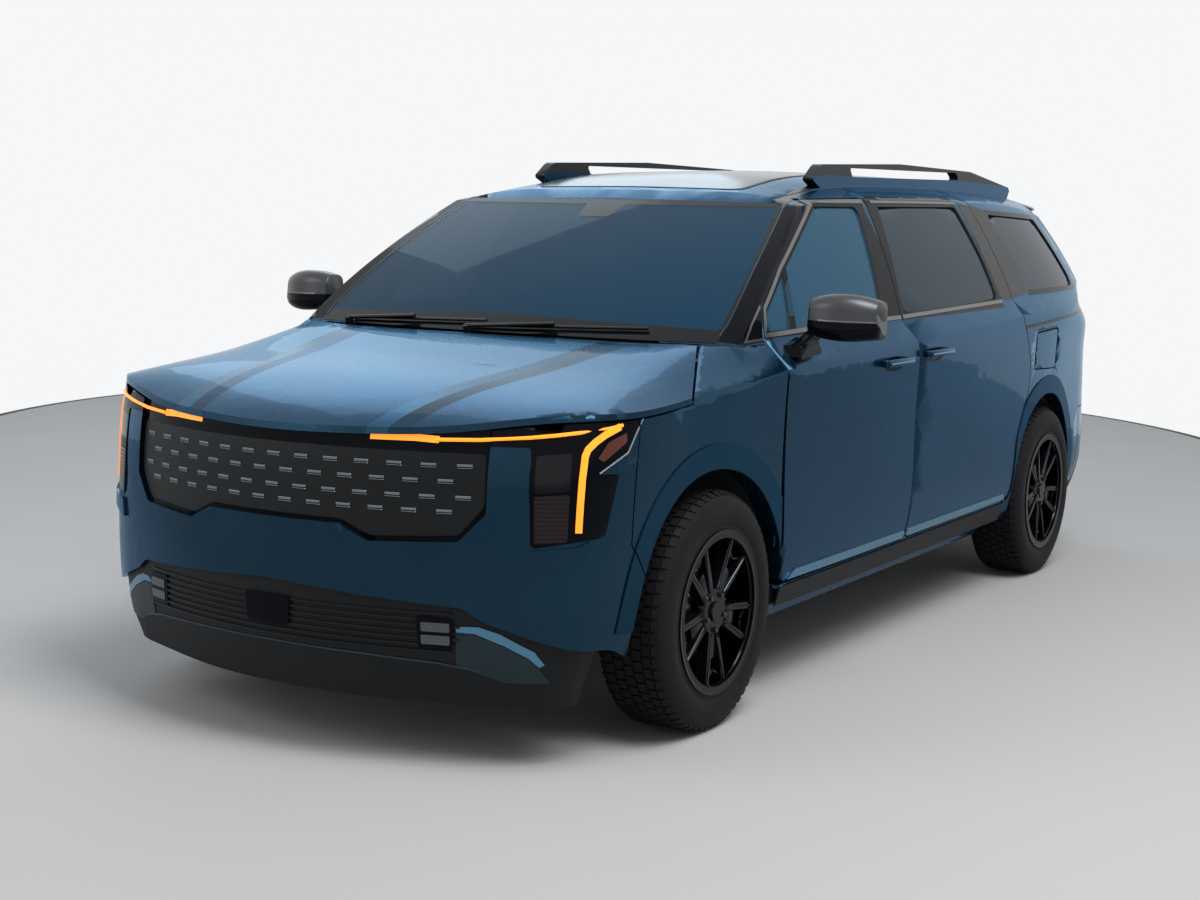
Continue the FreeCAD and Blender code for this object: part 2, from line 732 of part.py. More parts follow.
def make_body_side():
    """Side of the body: pillars, cant rail, sill, quarter panel and wheel arch."""
    side = SIDE_SHELL.common(box(-3000, 1600, ROOF_HALF + GAP, 1200, 200, 1850))
    side = side.cut(box(DOOR_FRONT - 40, 1600, 500, 1200, 0, WING_LINE + SEAT_GAP))
    side = side.cut(leaning_prism(FRONT_DOOR, GAP))
    side = side.cut(leaning_prism(SLIDING_DOOR, GAP))
    side = side.cut(side_window(QUARTER_WINDOW))
    side = side.cut([gate_region(GAP), gate_swing(GATE_REACH + GAP)])
    side = side.cut([pane_space(1, size("glass_wall") + SEAT_GAP), pane_space(-PILLAR_LEDGE, 200)])
    side = side.cut(box(-3000, -2050, 0, 1200, 100, BUMPER_TOP - 5))
    side = side.cut(wheel_arch(REAR_AXLE, size("arch_radius")))
    side = side.cut(wheel_arch(FRONT_AXLE, size("arch_radius") + 40))
    side = side.cut(box(-3000, 3000, 0, 1200, 0, size("sill_bottom")))
    side = side.cut(tail_lamp_space(SEAT_GAP))
    sill = side_prism([
        (1290, size("sill_bottom")), (1290, DOOR_BOTTOM - 12), (-930, DOOR_BOTTOM),
        (-930, size("sill_bottom"))], SILL_INNER, 925)
    sill = sill.fuse(box(-930, 1180, SILL_INNER, 860, FLOOR - size("floor_wall"), size("sill_bottom")))
    hinge_post = box(HINGE_X - 90, HINGE_X + 10, SILL_INNER, 900, size("sill_bottom"), SHOULDER_Z)
    hinge_post = hinge_post.fuse(box(HINGE_X - 90, 1300, SILL_INNER, 880, 1040, SHOULDER_Z))
    pillar_foot = box(TOE_FRONT + SEAT_GAP, FOOT_FRONT, 760, FOOT_SIDE, 1040, 1200)
    hinge_post = hinge_post.common(lower_body(WALL)).fuse(pillar_foot.common(CABIN_FOOT))
    b_post = side_prism([
        (DOOR_SPLIT - 50, 350), (DOOR_SPLIT + 60, 350), (DOOR_SPLIT + 60, 1190),
        (DOOR_SPLIT - 6, 1640), (DOOR_SPLIT - 66, 1640), (DOOR_SPLIT - 50, 1190)], 500, 1200)
    post_out = cabin_space(WALL + 5, WALL, WALL)
    b_post = b_post.common(post_out.cut(cabin_space(WALL + 45, WALL, WALL)))
    latch_space = cabin_space(WALL + SEAT_GAP, WALL, WALL)
    latches = [box(DOOR_SPLIT + 30, DOOR_SPLIT + 52, 880, 1000, 790, 820),
               box(DOOR_SPLIT - 48, DOOR_SPLIT - 26, 880, 1000, 790, 820)]
    b_post = b_post.fuse([latch.common(latch_space) for latch in latches])
    b_post = b_post.cut(box(-100, 400, 0, 655, 0, 1800))
    inner = sill.fuse([hinge_post])
    inner = inner.cut(wheel_arch(FRONT_AXLE, size("arch_radius") + size("liner_wall") + SEAT_GAP))
    return side.fuse([inner, b_post])


def door_clearance():
    """Space that the front door's leading edge needs in the fixed body.

    A thin lip of the wing's skin stays in front of it and narrows the gap.
    """
    swept = door_swing(LEADING_REACH + size("swing_gap"), DOOR_BOTTOM - GAP, 1140)
    behind = box(1000, FENDER_REAR, 0, 1200, 0, 1300)
    return swept.common(behind.fuse(lower_body(FENDER_LIP).common(hood_block(FENDER_LIP))))


FENDER_LIP = 2
DOOR_CLEARANCE = door_clearance()
PIN_FUEL = 4


def make_body_sides():
    """Both sides of the body. The left one has the fuel filler opening."""
    side = make_body_side().cut(DOOR_CLEARANCE)
    pieces = sorted(side.Solids, key=lambda solid: -solid.Volume)
    side = pieces[0].fuse([door_strap(height) for height in HINGE_HEIGHTS])
    add("body_side_right", mirrored(side))
    hinge = (size("fuel_hinge_x"), size("fuel_hinge_y"), 0)
    reach = size("fuel_front") - hinge[0]
    opening = side_prism(fuel_outline(GAP), 936, OUTSIDE_Y)
    middle = (size("fuel_low") + size("fuel_high")) / 2
    filler = cylinder("y", ((size("fuel_front") + size("fuel_rear")) / 2, 0, middle), 30, 860, 1000)
    pins = [cylinder("z", hinge, PIN_FUEL, size("fuel_low") - 12, size("fuel_low") + 18),
            cylinder("z", hinge, PIN_FUEL, size("fuel_high") - 14, size("fuel_high") + 14)]
    add("body_side_left", side.cut([opening, filler]).fuse(pins))
    flap = SIDE_SHELL.common(side_prism(fuel_outline(0), 955, OUTSIDE_Y))
    lip = box(hinge[0], hinge[0] + 80, 900, 1100, 800, 1200)
    flap = flap.cut(lip.cut(cylinder("z", hinge, reach, 700, 1300)))
    flap = flap.cut([
        cylinder("z", hinge, PIN_FUEL + PIN_FIT, 800, size("fuel_low") + 19),
        cylinder("z", hinge, PIN_FUEL + PIN_FIT, size("fuel_high") - 15, 1200)])
    add("fuel_door", flap)


def make_roof():
    """Roof panel between the rails, from windshield header to tailgate."""
    shell = CABIN_OUT.cut(cabin_space(size("panel_wall"), 0, 0))
    roof = shell.common(box(-2500, 1000, 0, ROOF_HALF, 1500, 1850))
    roof = roof.cut([gate_region(GAP), gate_swing(GATE_REACH + GAP)])
    ahead = windshield_space(size("glass_wall") + SEAT_GAP)
    roof = roof.cut(ahead)
    roof = roof.fuse(gate_hinge_plate().common(cabin_block(3)))
    add("roof_panel", across(roof))


PANE = [
    (-1, 1163, 0), (-1, 1616, 0), (664, 1606, 30), (724, 1483, 150), (762, 1386, 200),
    (781, 1299, 200), (797, 1218, 100), (803, 1163, 12),
]


def pane_space(grow, depth):
    """The windshield's outline down to a depth below its outer surface."""
    flat = offset_outline([(y, z) for y, z, radius in PANE], grow)
    outline = [(y, z, radius) for (y, z), (_, _, radius) in zip(flat, PANE)]
    sheet_face = bowed_surface(WIND_ROWS, 1100)
    return sheet_face.extrude(Vector(0.5, 0, 0.866) * -depth).common(front_prism(outline, 300, 1800))


def make_windshield():
    """The windshield, a bowed pane that lies on the pillars and the header."""
    add("windshield", across(pane_space(0, size("glass_wall"))))


def make_fenders():
    """Front wings from door to headlamp, with the wheel opening."""
    corner = CABIN_OUT.common(box(1150, 1700, 500, 1200, 200, 1200))
    skin = FRONT_OUT.fuse(corner).cut([FRONT_IN, CABIN_IN])
    region = side_prism([
        (FENDER_REAR, 330), (FENDER_REAR, WING_LINE), (1446, WING_LINE), (1480, 1230),
        (2110, 1230), (2080, 960), (2105, 640), (1900, 330)], 500, 1200)
    wing = skin.common(region).cut([HOOD_SPACE, hood_plan(HOOD_LEDGE)])
    wing = wing.cut([wheel_arch(FRONT_AXLE, size("arch_radius")), DOOR_CLEARANCE])
    wing = wing.cut(box(1000, 1560, 0, 756, 0, 1300))
    wing = wing.cut(box(1000, FOOT_FRONT + SEAT_GAP, 0, FOOT_SIDE + SEAT_GAP, 1000, 1300))
    pieces = sorted(wing.Solids, key=lambda solid: -solid.Volume)
    add_pair("front_fender", pieces[0])


HEADLAMP = [
    (655.3, 1050), (960, 1050, 10), (1100, 1050, 10), (1100, 930, 10), (928, 870, 10),
    (914, 675, 15), (770, 649, 12), (758, 926, 10), (655.3, 926)]
GRILLE = [
    (-1, 1050), (655, 1050), (655, 740, 20), (585, 660, 30), (330, 648, 20), (240, 690, 20),
    (-1, 690)]
INTAKE = [
    (-1, 512), (600, 474, 30), (650, 440, 30), (905, 345, 20), (905, 180, 20), (-1, 180)]


def nose_region(corners, grow=0):
    """A front-view outline through the nose."""
    flat = offset_outline([corner[:2] for corner in corners], grow)
    rounded = [(y, z, corner[2] if len(corner) > 2 else 0) for (y, z), corner in zip(flat, corners)]
    return front_prism(rounded, 2000, 2700)


NOSE_SHELL = FRONT_OUT.cut(FRONT_IN).common(box(1900, 2700, 0, 1200, 150, 1100))


def make_nose():
    """Bumper cover, headlamps, grille and the black lower fascia."""
    shell = NOSE_SHELL.cut([HOOD_SPACE, hood_plan(HOOD_LEDGE)])
    ahead = side_prism([
        (2800, 100), (2800, 1200), (2110 + GAP, 1200), (2080 + GAP, 960), (2105 + GAP, 640),
        (1900 + GAP, 330), (1900, 100)], -10, 1200)
    shell = shell.common(ahead)
    shell = shell.cut(wheel_arch(FRONT_AXLE, size("arch_radius")))
    lamp = shell.common(nose_region(HEADLAMP))
    lamp = sorted(lamp.Solids, key=lambda solid: -solid.Volume)[0]
    bumper = shell.cut([nose_region(HEADLAMP, SEAT_GAP), nose_region(GRILLE, SEAT_GAP),
                        nose_region(INTAKE, SEAT_GAP)])
    bumper = sorted(bumper.Solids, key=lambda solid: -solid.Volume)[0]
    recess = 14
    deep = lower_body(recess)
    grille = shell.common(nose_region(GRILLE)).common(deep)
    fascia = shell.common(nose_region(INTAKE)).common(deep)
    fascia = fascia.cut(box(1900, 2200, 0, 1200, 0, 1000))
    add("headlamps", both_sides(lamp))
    add("front_bumper", across(bumper))
    add("grille", across(grille))
    add("lower_fascia", across(fascia))


def make_rear_bumper():
    """Rear bumper cover with the lower valance."""
    block = lower_body(0).common(box(-2700, -2050 - GAP, 0, 1200, 215, BUMPER_TOP - 5 - GAP))
    cover = block.cut(lower_body(WALL))
    add("rear_bumper", across(cover))


def make_tail_lamps():
    """The fixed lamp on each rear quarter, flush with the skin."""
    lamp = SIDE_SHELL.common(tail_lamp_space(0)).cut(gate_region(GAP))
    add("tail_lamps", both_sides(lamp))


LINER_INNER = 535
BOOT_FLOOR = 380
FLOOR_HALF = SILL_INNER - SEAT_GAP
COWL_LOW = 1086
COWL_WALL = 12


def make_floor():
    """Floor pan, firewall and rear wheel houses as one pressing."""
    wall = size("floor_wall")
    under = FLOOR - wall
    profile = [
        (1120, under), (1120, FLOOR), (-950, FLOOR), (-1040, 470), (-1880, 470), (-1960, BOOT_FLOOR),
        (-2440, BOOT_FLOOR), (-2440, BOOT_FLOOR - wall), (-1975, BOOT_FLOOR - wall), (-1895, 470 - wall),
        (-1025, 470 - wall), (-935, under)]
    pan = side_prism(profile, -FLOOR_HALF, FLOOR_HALF)
    tail_block = box(-3000, -2000, 0, 1000, 100, 700)
    pan = pan.cut(across(tail_block.cut(lower_body(WALL + SEAT_GAP))))
    toe_top = COWL_LOW - SEAT_GAP
    toe = side_prism([
        (1120, under), (TOE_FRONT, 420), (TOE_FRONT, toe_top), (1190, toe_top), (1190, 440),
        (1080, FLOOR)], -FLOOR_HALF, FLOOR_HALF)
    pan = pan.fuse(toe)
    for side in (1, -1):
        low, high = sorted([side * (690 - SEAT_GAP), side * 1000])
        room = size("arch_radius") + size("liner_wall") + SEAT_GAP
        pan = pan.cut(wheel_arch(REAR_AXLE, room, low, high))
        low, high = sorted([side * (LINER_INNER - SEAT_GAP), side * 1000])
        pan = pan.cut(wheel_arch(FRONT_AXLE, room, low, high))
    add("floor_pan", pan)


def arch_liner(axle, inner_y, outer_space):
    """Half-round wheel-house liner with its inner wall."""
    inner = size("arch_radius")
    outer = inner + size("liner_wall")
    tub = wheel_arch(axle, outer, inner_y, 960).cut(wheel_arch(axle, inner, inner_y + 5, 970))
    tub = tub.cut(box(axle - 600, axle + 600, 0, 1200, -200, 330))
    return tub.common(outer_space)


def make_liners():
    """Liners of the four wheel houses."""
    front_space = FRONT_IN.common(box(1000, 2300, 0, 1200, 200, 1000))
    front = arch_liner(FRONT_AXLE, LINER_INNER, front_space)
    rear = arch_liner(REAR_AXLE, 690, CABIN_IN)
    rear = rear.cut(cylinder("y", (REAR_AXLE, 0, WHEEL_Z), 56, 600, 720))
    liners = Part.makeCompound(front.Solids + rear.Solids)
    add("wheel_liners", both_sides(liners))


def make_rails():
    """Roof rails on feet, with a long gap under the middle."""
    outer = side_prism([
        (290, 1698, 10), (205, 1754, 60), (-550, 1775, 400), (-1350, 1764, 300), (-1850, 1705, 10),
        (-1870, 1690), (-1830, 1640), (150, 1640)], 568, 608)
    slot = side_prism([(-78, 1714, 8), (-50, 1748, 8), (-1170, 1756, 8), (-1223, 1724, 8)], 550, 630)
    rail = outer.cut(slot).cut(CABIN_OUT)
    rail = sorted(rail.Solids, key=lambda solid: -solid.Volume)[0]
    add("roof_rails", both_sides(rail))


def make_sill_trims():
    """Black sill covers below the doors."""
    low = size("sill_bottom")
    strip = side_prism([
        (1190, low), (1190, DOOR_BOTTOM - GAP - 8), (-930, DOOR_BOTTOM - GAP), (-930, low)], 700, 1200)
    trim = lower_body(-6).common(strip).cut(lower_body(0))
    trim = trim.cut(wheel_arch(FRONT_AXLE, size("arch_radius")))
    trim = trim.cut(wheel_arch(REAR_AXLE, size("arch_radius")))
    add("sill_trims", both_sides(trim))


def make_cowl():
    """Cowl panel behind the hood, with the two wiper arms and blades."""
    top = COWL_LOW + COWL_WALL
    cowl = plan_prism([(1195, -740), (1195, 740), (1430, 740), (1500, 380), (1500, -380), (1430, -740)],
                      COWL_LOW, top)
    x, _, z = HOOD_HINGE
    for side in (1, -1):
        low, high = sorted([side * (HOOD_ARM_LOW - GAP), side * (HOOD_ARM_HIGH + GAP)])
        cowl = cowl.cut(box(x - 24, x + 230, low, high, 1000, 1200))
        low, high = sorted([side * (HOOD_ARM_LOW - GAP - 12), side * (HOOD_ARM_LOW - GAP)])
        bracket = side_prism([
            (x - 30, COWL_LOW), (x - 12, z + 12, 6), (x + 12, z + 12, 6), (x + 30, COWL_LOW)], low, high)
        low, high = sorted([side * (HOOD_ARM_LOW - GAP - 6), side * (HOOD_ARM_HIGH + 3)])
        cowl = cowl.fuse([bracket, cylinder("y", HOOD_HINGE, PIN, low, high)])
    add("cowl_and_wipers", cowl)


def make_mirror():
    """Door mirror: a foot on the shoulder, an arm and the housing."""
    foot = side_prism([(1150, 1108, 8), (1130, 1150, 8), (1010, 1172, 8), (985, 1120, 8)], 900, 990)
    foot = foot.cut(CABIN_OUT)
    arm = Part.makeLoft([
        rounded_wire([(1140, 1115, 8), (1120, 1155, 8), (1020, 1165, 8), (1000, 1120, 8)],
                     lambda u, v: Vector(u, 945, v)),
        rounded_wire([(1120, 1195, 8), (1110, 1235, 8), (1040, 1240, 8), (1030, 1198, 8)],
                     lambda u, v: Vector(u, 1030, v))], True)
    arm = arm.cut(CABIN_OUT)
    head = Part.makeLoft([
        rounded_wire([(1120, 1190, 30), (1105, 1310, 40), (1010, 1305, 30), (1010, 1185, 30)],
                     lambda u, v: Vector(u, 995, v)),
        rounded_wire([(1135, 1175, 35), (1120, 1325, 50), (1000, 1318, 30), (1000, 1170, 30)],
                     lambda u, v: Vector(u, 1080, v)),
        rounded_wire([(1080, 1185, 35), (1070, 1300, 40), (985, 1300, 30), (985, 1178, 30)],
                     lambda u, v: Vector(u, 1215, v))], True)
    add_pair("mirror", foot.fuse([arm, head]).removeSplitter())


def make_tyre(name, x, side):
    """A tyre, turned from its section about the axle."""
    radius = size("tyre_radius")
    width = size("tyre_width")
    rim = size("rim_radius")
    body = doc.addObject("PartDesign::Body", name)
    body.Label = name
    sketch = body.newObject("Sketcher::SketchObject", name + "_section")
    plane = [item for item in body.Origin.OriginFeatures if item.Role == "XY_Plane"][0]
    sketch.AttachmentSupport = [(plane, "")]
    sketch.MapMode = "FlatFace"
    half = "Sizes.tyre_width / 2"
    corners = [
        ("Sizes.rim_radius - 8", "-(" + half + " - 8)"),
        ("Sizes.rim_radius + 34", "-(" + half + ")"),
        ("Sizes.tyre_radius - 46", "-(" + half + " - 1)"),
        ("Sizes.tyre_radius - 10", "-(" + half + " - 16)"),
        ("Sizes.tyre_radius", "-(" + half + " - 42)"),
        ("Sizes.tyre_radius", half + " - 42"),
        ("Sizes.tyre_radius - 10", half + " - 16"),
        ("Sizes.tyre_radius - 46", half + " - 1"),
        ("Sizes.rim_radius + 34", half),
        ("Sizes.rim_radius - 8", half + " - 8"),
    ]
    numbers = [(rim - 8, -(width / 2 - 8)), (rim + 34, -width / 2), (radius - 46, -(width / 2 - 1)),
               (radius - 10, -(width / 2 - 16)), (radius, -(width / 2 - 42)),
               (radius, width / 2 - 42), (radius - 10, width / 2 - 16), (radius - 46, width / 2 - 1),
               (rim + 34, width / 2), (rim - 8, width / 2 - 8)]
    closed_sketch(sketch, corners, numbers)
    doc.recompute()
    turned = body.newObject("PartDesign::Revolution", name + "_turned")
    turned.Profile = sketch
    turned.ReferenceAxis = (sketch, ["V_Axis"])
    turned.Angle = 360
    body.Tip = turned
    body.Placement = Placement(Vector(x, side * size("track_half"), WHEEL_Z), Rotation())
    made.append(body)


def closed_sketch(sketch, formulas, numbers):
    """A closed polygon whose corners are bound to the sheet."""
    count = len(numbers)
    for index in range(count):
        first = Vector(*numbers[index], 0)
        second = Vector(*numbers[(index + 1) % count], 0)
        sketch.addGeometry(Part.LineSegment(first, second))
    for index in range(count):
        sketch.addConstraint(Sketcher.Constraint("Coincident", index, 2, (index + 1) % count, 1))
    for index, ((across_text, up_text), (across_now, up_now)) in enumerate(zip(formulas, numbers)):
        number = sketch.addConstraint(Sketcher.Constraint("DistanceX", -1, 1, index, 1, across_now))
        sketch.setExpression(f"Constraints[{number}]", across_text)
        number = sketch.addConstraint(Sketcher.Constraint("DistanceY", -1, 1, index, 1, up_now))
        sketch.setExpression(f"Constraints[{number}]", up_text)


def wheel_rim(side):
    """Alloy wheel about the Y axis at the origin, face towards +Y."""
    radius = size("rim_radius")
    wall = size("rim_wall")
    half = size("tyre_width") / 2 - 10
    barrel = cylinder("y", (0, 0, 0), radius - 8 - SEAT_GAP, -half, half)
    barrel = barrel.cut(cylinder("y", (0, 0, 0), radius - 8 - SEAT_GAP - wall, -half - 1, half + 1))
    lip = cylinder("y", (0, 0, 0), radius + 4, half + 5, half + 9)
    lip = lip.cut(cylinder("y", (0, 0, 0), radius - 22, half - 10, half + 12))
    lip = lip.fuse(cylinder("y", (0, 0, 0), radius - 8 - SEAT_GAP, half - 4, half + 9).cut(
        cylinder("y", (0, 0, 0), radius - 22, half - 10, half + 12)))
    hub = cylinder("y", (0, 0, 0), size("hub_radius"), half - 58, half - 12)
    spokes = []
    for index in range(5):
        for sign in (1, -1):
            blade = spoke_blade(radius, half, sign)
            blade.rotate(Vector(0, 0, 0), Vector(0, 1, 0), index * 72 + 90)
            spokes.append(blade)
    inside = cylinder("y", (0, 0, 0), radius - 8 - SEAT_GAP, -half, half + 9)
    rim = barrel.fuse([lip, hub] + [blade.common(inside) for blade in spokes])
    if side < 0:
        rim = mirrored(rim)
    return rim


def spoke_blade(radius, half, sign):
    """One blade of a forked spoke, running out along +X."""
    outer = radius - 14
    inner_wire = Part.makePolygon([
        Vector(40, half - 52, sign * 2), Vector(40, half - 14, sign * 4),
        Vector(40, half - 14, sign * 30), Vector(40, half - 52, sign * 32),
        Vector(40, half - 52, sign * 2)])
    outer_wire = Part.makePolygon([
        Vector(outer, half - 34, sign * 44), Vector(outer, half - 2, sign * 46),
        Vector(outer, half - 2, sign * 66), Vector(outer, half - 34, sign * 68),
        Vector(outer, half - 34, sign * 44)])
    return Part.makeLoft([inner_wire, outer_wire], True, True)


def make_wheels():
    """Four tyres on four forged rims."""
    for end, x in (("front", FRONT_AXLE), ("rear", REAR_AXLE)):
        for hand, side in (("left", 1), ("right", -1)):
            make_tyre(f"tyre_{end}_{hand}", x, side)
            rim = add(f"rim_{end}_{hand}", wheel_rim(side))
            rim.Placement = Placement(Vector(x, side * size("track_half"), WHEEL_Z), Rotation())


ARM_TOP = 235


def make_knuckles():
    """Steering knuckles with brake disc, hub and strut foot."""
    hub_y = size("track_half") + size("tyre_width") / 2 - 68 - SEAT_GAP
    post_y = size("track_half") - size("kingpin_inset")
    knuckle = cylinder("y", (FRONT_AXLE, 0, WHEEL_Z), 55, post_y - 40, hub_y)
    disc = cylinder("y", (FRONT_AXLE, 0, WHEEL_Z), 160, hub_y - 62, hub_y - 34)
    post = cylinder("z", (FRONT_AXLE, post_y, 0), 22, ARM_TOP + SEAT_GAP, 540)
    add_pair("knuckle", knuckle.fuse([disc, post]))


def make_rear_axle():
    """Rear suspension: cross member, trailing arms and hub carriers."""
    hub_y = size("track_half") + size("tyre_width") / 2 - 68 - SEAT_GAP
    parts = []
    for side in (1, -1):
        low, high = sorted([side * 640, side * hub_y])
        parts.append(cylinder("y", (REAR_AXLE, 0, WHEEL_Z), 50, low, high))
        arm_low, arm_high = sorted([side * 640, side * 690])
        parts.append(side_prism([
            (REAR_AXLE - 60, 330, 10), (REAR_AXLE + 380, 250, 10), (REAR_AXLE + 400, 295, 10),
            (REAR_AXLE, 410, 10), (REAR_AXLE - 60, 410, 10)], arm_low, arm_high))
        disc_low, disc_high = sorted([side * (hub_y - 60), side * (hub_y - 36)])
        parts.append(cylinder("y", (REAR_AXLE, 0, WHEEL_Z), 160, disc_low, disc_high))
    beam = box(REAR_AXLE - 40, REAR_AXLE + 40, -660, 660, 300, 400)
    spring = [box(REAR_AXLE - 50, REAR_AXLE + 50, side * 610 - 50, side * 610 + 50, 380, 425 - SEAT_GAP)
              for side in (1, -1)]
    add("rear_suspension", beam.fuse(parts + spring))


TOE_FRONT = 1230
FRAME_TOP = 285
# The lower arm ends close to the steering axis, so that the disc clears it.
ARM_OVERHANG = 12
ARM_TIP = 15


def make_subframe():
    """Front subframe with its lower arms and the drive shafts' crossing."""
    frame = box(FRONT_AXLE - 300, FRONT_AXLE + 420, -450, 450, 230, FRAME_TOP)
    frame = frame.cut(box(FRONT_AXLE - 200, FRONT_AXLE + 300, -360, 360, 200, 300))
    rails = []
    for side in (1, -1):
        low, high = sorted([side * 400, side * 450])
        rails.append(box(TOE_FRONT + SEAT_GAP, NOSE, low, high, FRAME_TOP, 345))
        arm_end = side * (size("track_half") - size("kingpin_inset") + ARM_OVERHANG)
        arm = plan_prism([
            (FRONT_AXLE - 140, side * 440), (FRONT_AXLE - ARM_TIP, arm_end),
            (FRONT_AXLE + ARM_TIP, arm_end), (FRONT_AXLE + 140, side * 440)], ARM_TOP - 28, ARM_TOP)
        rails.append(arm)
    ahead = box(2000, 2700, 0, 1200, 200, 700)
    frame = frame.fuse(rails).cut(across(ahead.cut(lower_body(WALL + SEAT_GAP))))
    add("front_subframe", frame)


def make_engine():
    """Engine and gearbox as one plain block."""
    add("engine_block", box(FRONT_AXLE - 180, FRONT_AXLE + 400, -380, 380, FRAME_TOP + SEAT_GAP, 860))


def make_exhaust():
    """Exhaust pipe under the tunnel with the rear silencer."""
    pipe_radius = 28
    can_radius = 85
    pipe_z = FLOOR - size("floor_wall") - pipe_radius - SEAT_GAP
    can_z = BOOT_FLOOR - size("floor_wall") - can_radius - SEAT_GAP
    pipe = cylinder("x", (0, 120, pipe_z), pipe_radius, -2200, 1100)
    silencer = cylinder("y", (-2200, 0, can_z), can_radius, -300, 350)
    add("exhaust", pipe.fuse(silencer))


TOE_REAR = 1190
COLUMN_LENGTH = 240


def make_dashboard():
    """Dashboard across the cabin, with the steering column's shroud."""
    profile = [
        (TOE_REAR - SEAT_GAP, 700, 20), (TOE_REAR - SEAT_GAP, 1075, 20), (1080, 1090, 40), (860, 1075, 40), (770, 1000, 40),
        (800, 860, 40), (900, 700, 30)]
    dash = side_prism(profile, -760, 760)
    column = Part.makeCylinder(38, COLUMN_LENGTH - SEAT_GAP, Vector(860, 370, 930), Vector(-0.93, 0, 0.36))
    add("dashboard", dash.fuse(column))


def make_steering_wheel():
    """Steering wheel: rim, three spokes and the centre pad."""
    axis = Vector(-0.93, 0, 0.36).normalize()
    centre = Vector(860, 370, 930) + axis * (COLUMN_LENGTH + 45)
    ring = Part.makeTorus(180, 15, centre, axis)
    pad = Part.makeCylinder(62, 50, centre - axis * 45, axis)
    across_bar = Part.makeBox(14, 350, 30, Vector(-7, -175, -15))
    across_bar.Placement = Placement(centre - axis * 8, Rotation(Vector(1, 0, 0), axis))
    add("steering_wheel", ring.fuse([pad, across_bar]))


def seat_solid(x, low, high, base):
    """One seat: cushion, back and head rest in a single closed form."""
    profile = [
        (x + 60, base, 20), (x + 470, base, 20), (x + 530, base + 300, 60), (x + 470, base + 360, 50),
        (x + 60, base + 330, 40), (x - 110, base + 760, 40), (x - 120, base + 800, 20),
        (x - 140, base + 960, 40), (x - 225, base + 950, 40), (x - 225, base + 790, 20),
        (x - 215, base + 740, 30), (x - 60, base + 220, 40)]
    return side_prism(profile, low, high)


def make_seats():
    """Front seats, captain's chairs of the second row and the rear bench."""
    base = FLOOR + SEAT_GAP
    add("front_seats", both_sides(seat_solid(250, 130, 630, base)))
    add("middle_seats", both_sides(seat_solid(-620, 130, 630, base)))
    bench = seat_solid(-1560, -600, 600, 470 + SEAT_GAP)
    add("rear_bench", bench.common(box(-3000, 3000, -600, 600, 0, 1420)))


def finish_and_export():
    """Recompute, check every object and write the sub-parts."""
    doc.recompute()
    for item in doc.Objects:
        if "Invalid" in item.State or "Error" in item.State:
            raise RuntimeError(item.Label + " did not recompute")
    for item in made:
        if item.Shape.isNull() or not item.Shape.isValid():
            raise RuntimeError(item.Label + " has no valid shape")
    os.makedirs("parts", exist_ok=True)
    for item in made:
        item.Shape.exportStep(f"parts/{item.Label}.step")


make_hood()
make_front_door()
make_sliding_door()
make_rear_side_glass()
make_tailgate()
make_body_sides()
make_roof()
make_windshield()
make_fenders()
make_nose()
make_rear_bumper()
make_tail_lamps()
make_floor()
make_liners()
make_rails()
make_sill_trims()
make_cowl()
make_mirror()
make_wheels()
make_knuckles()
make_rear_axle()
make_subframe()
make_engine()
make_exhaust()
make_dashboard()
make_steering_wheel()
make_seats()
finish_and_export()
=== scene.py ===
"""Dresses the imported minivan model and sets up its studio."""

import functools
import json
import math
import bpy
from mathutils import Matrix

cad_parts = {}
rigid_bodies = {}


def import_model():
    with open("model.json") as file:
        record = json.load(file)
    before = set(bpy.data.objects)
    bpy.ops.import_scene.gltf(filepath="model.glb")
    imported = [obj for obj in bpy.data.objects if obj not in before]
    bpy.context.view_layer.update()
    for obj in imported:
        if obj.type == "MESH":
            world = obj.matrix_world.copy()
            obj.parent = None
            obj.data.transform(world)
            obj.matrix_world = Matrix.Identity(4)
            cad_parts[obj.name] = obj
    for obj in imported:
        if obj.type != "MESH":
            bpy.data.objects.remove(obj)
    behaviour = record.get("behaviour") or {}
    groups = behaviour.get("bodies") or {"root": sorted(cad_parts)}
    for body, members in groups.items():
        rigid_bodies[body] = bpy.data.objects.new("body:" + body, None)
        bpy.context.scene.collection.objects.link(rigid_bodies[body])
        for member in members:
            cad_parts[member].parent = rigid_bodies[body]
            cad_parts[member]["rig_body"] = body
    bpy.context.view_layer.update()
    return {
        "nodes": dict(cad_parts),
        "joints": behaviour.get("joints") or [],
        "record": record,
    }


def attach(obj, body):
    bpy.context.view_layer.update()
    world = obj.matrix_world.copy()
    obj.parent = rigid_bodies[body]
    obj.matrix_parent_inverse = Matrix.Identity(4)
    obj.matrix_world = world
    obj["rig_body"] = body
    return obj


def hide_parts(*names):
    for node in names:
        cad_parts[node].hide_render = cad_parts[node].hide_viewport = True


bl_info = {
    "name": "Minivan Studio",
    "version": (1, 0, 0),
    "blender": (4, 5, 0),
    "location": "View3D > Sidebar > Minivan",
    "description": "Dresses the packed minivan model and sets up its studio",
    "category": "Object",
}

import bmesh
import bpy
from mathutils import Matrix, Vector
from mathutils.bvhtree import BVHTree

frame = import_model()

LEFT = Vector((0, 1, 0))
AHEAD = Vector((1, 0, 0))
UP = Vector((0, 0, 1))
HANDS = (("left", 1), ("right", -1))
JOINT_OF = {joint["name"]: joint for joint in frame["joints"]}
SLOT_OF = {part["node"]: part["material_slot"] for part in frame["record"]["subparts"]}
FINISHES = {}


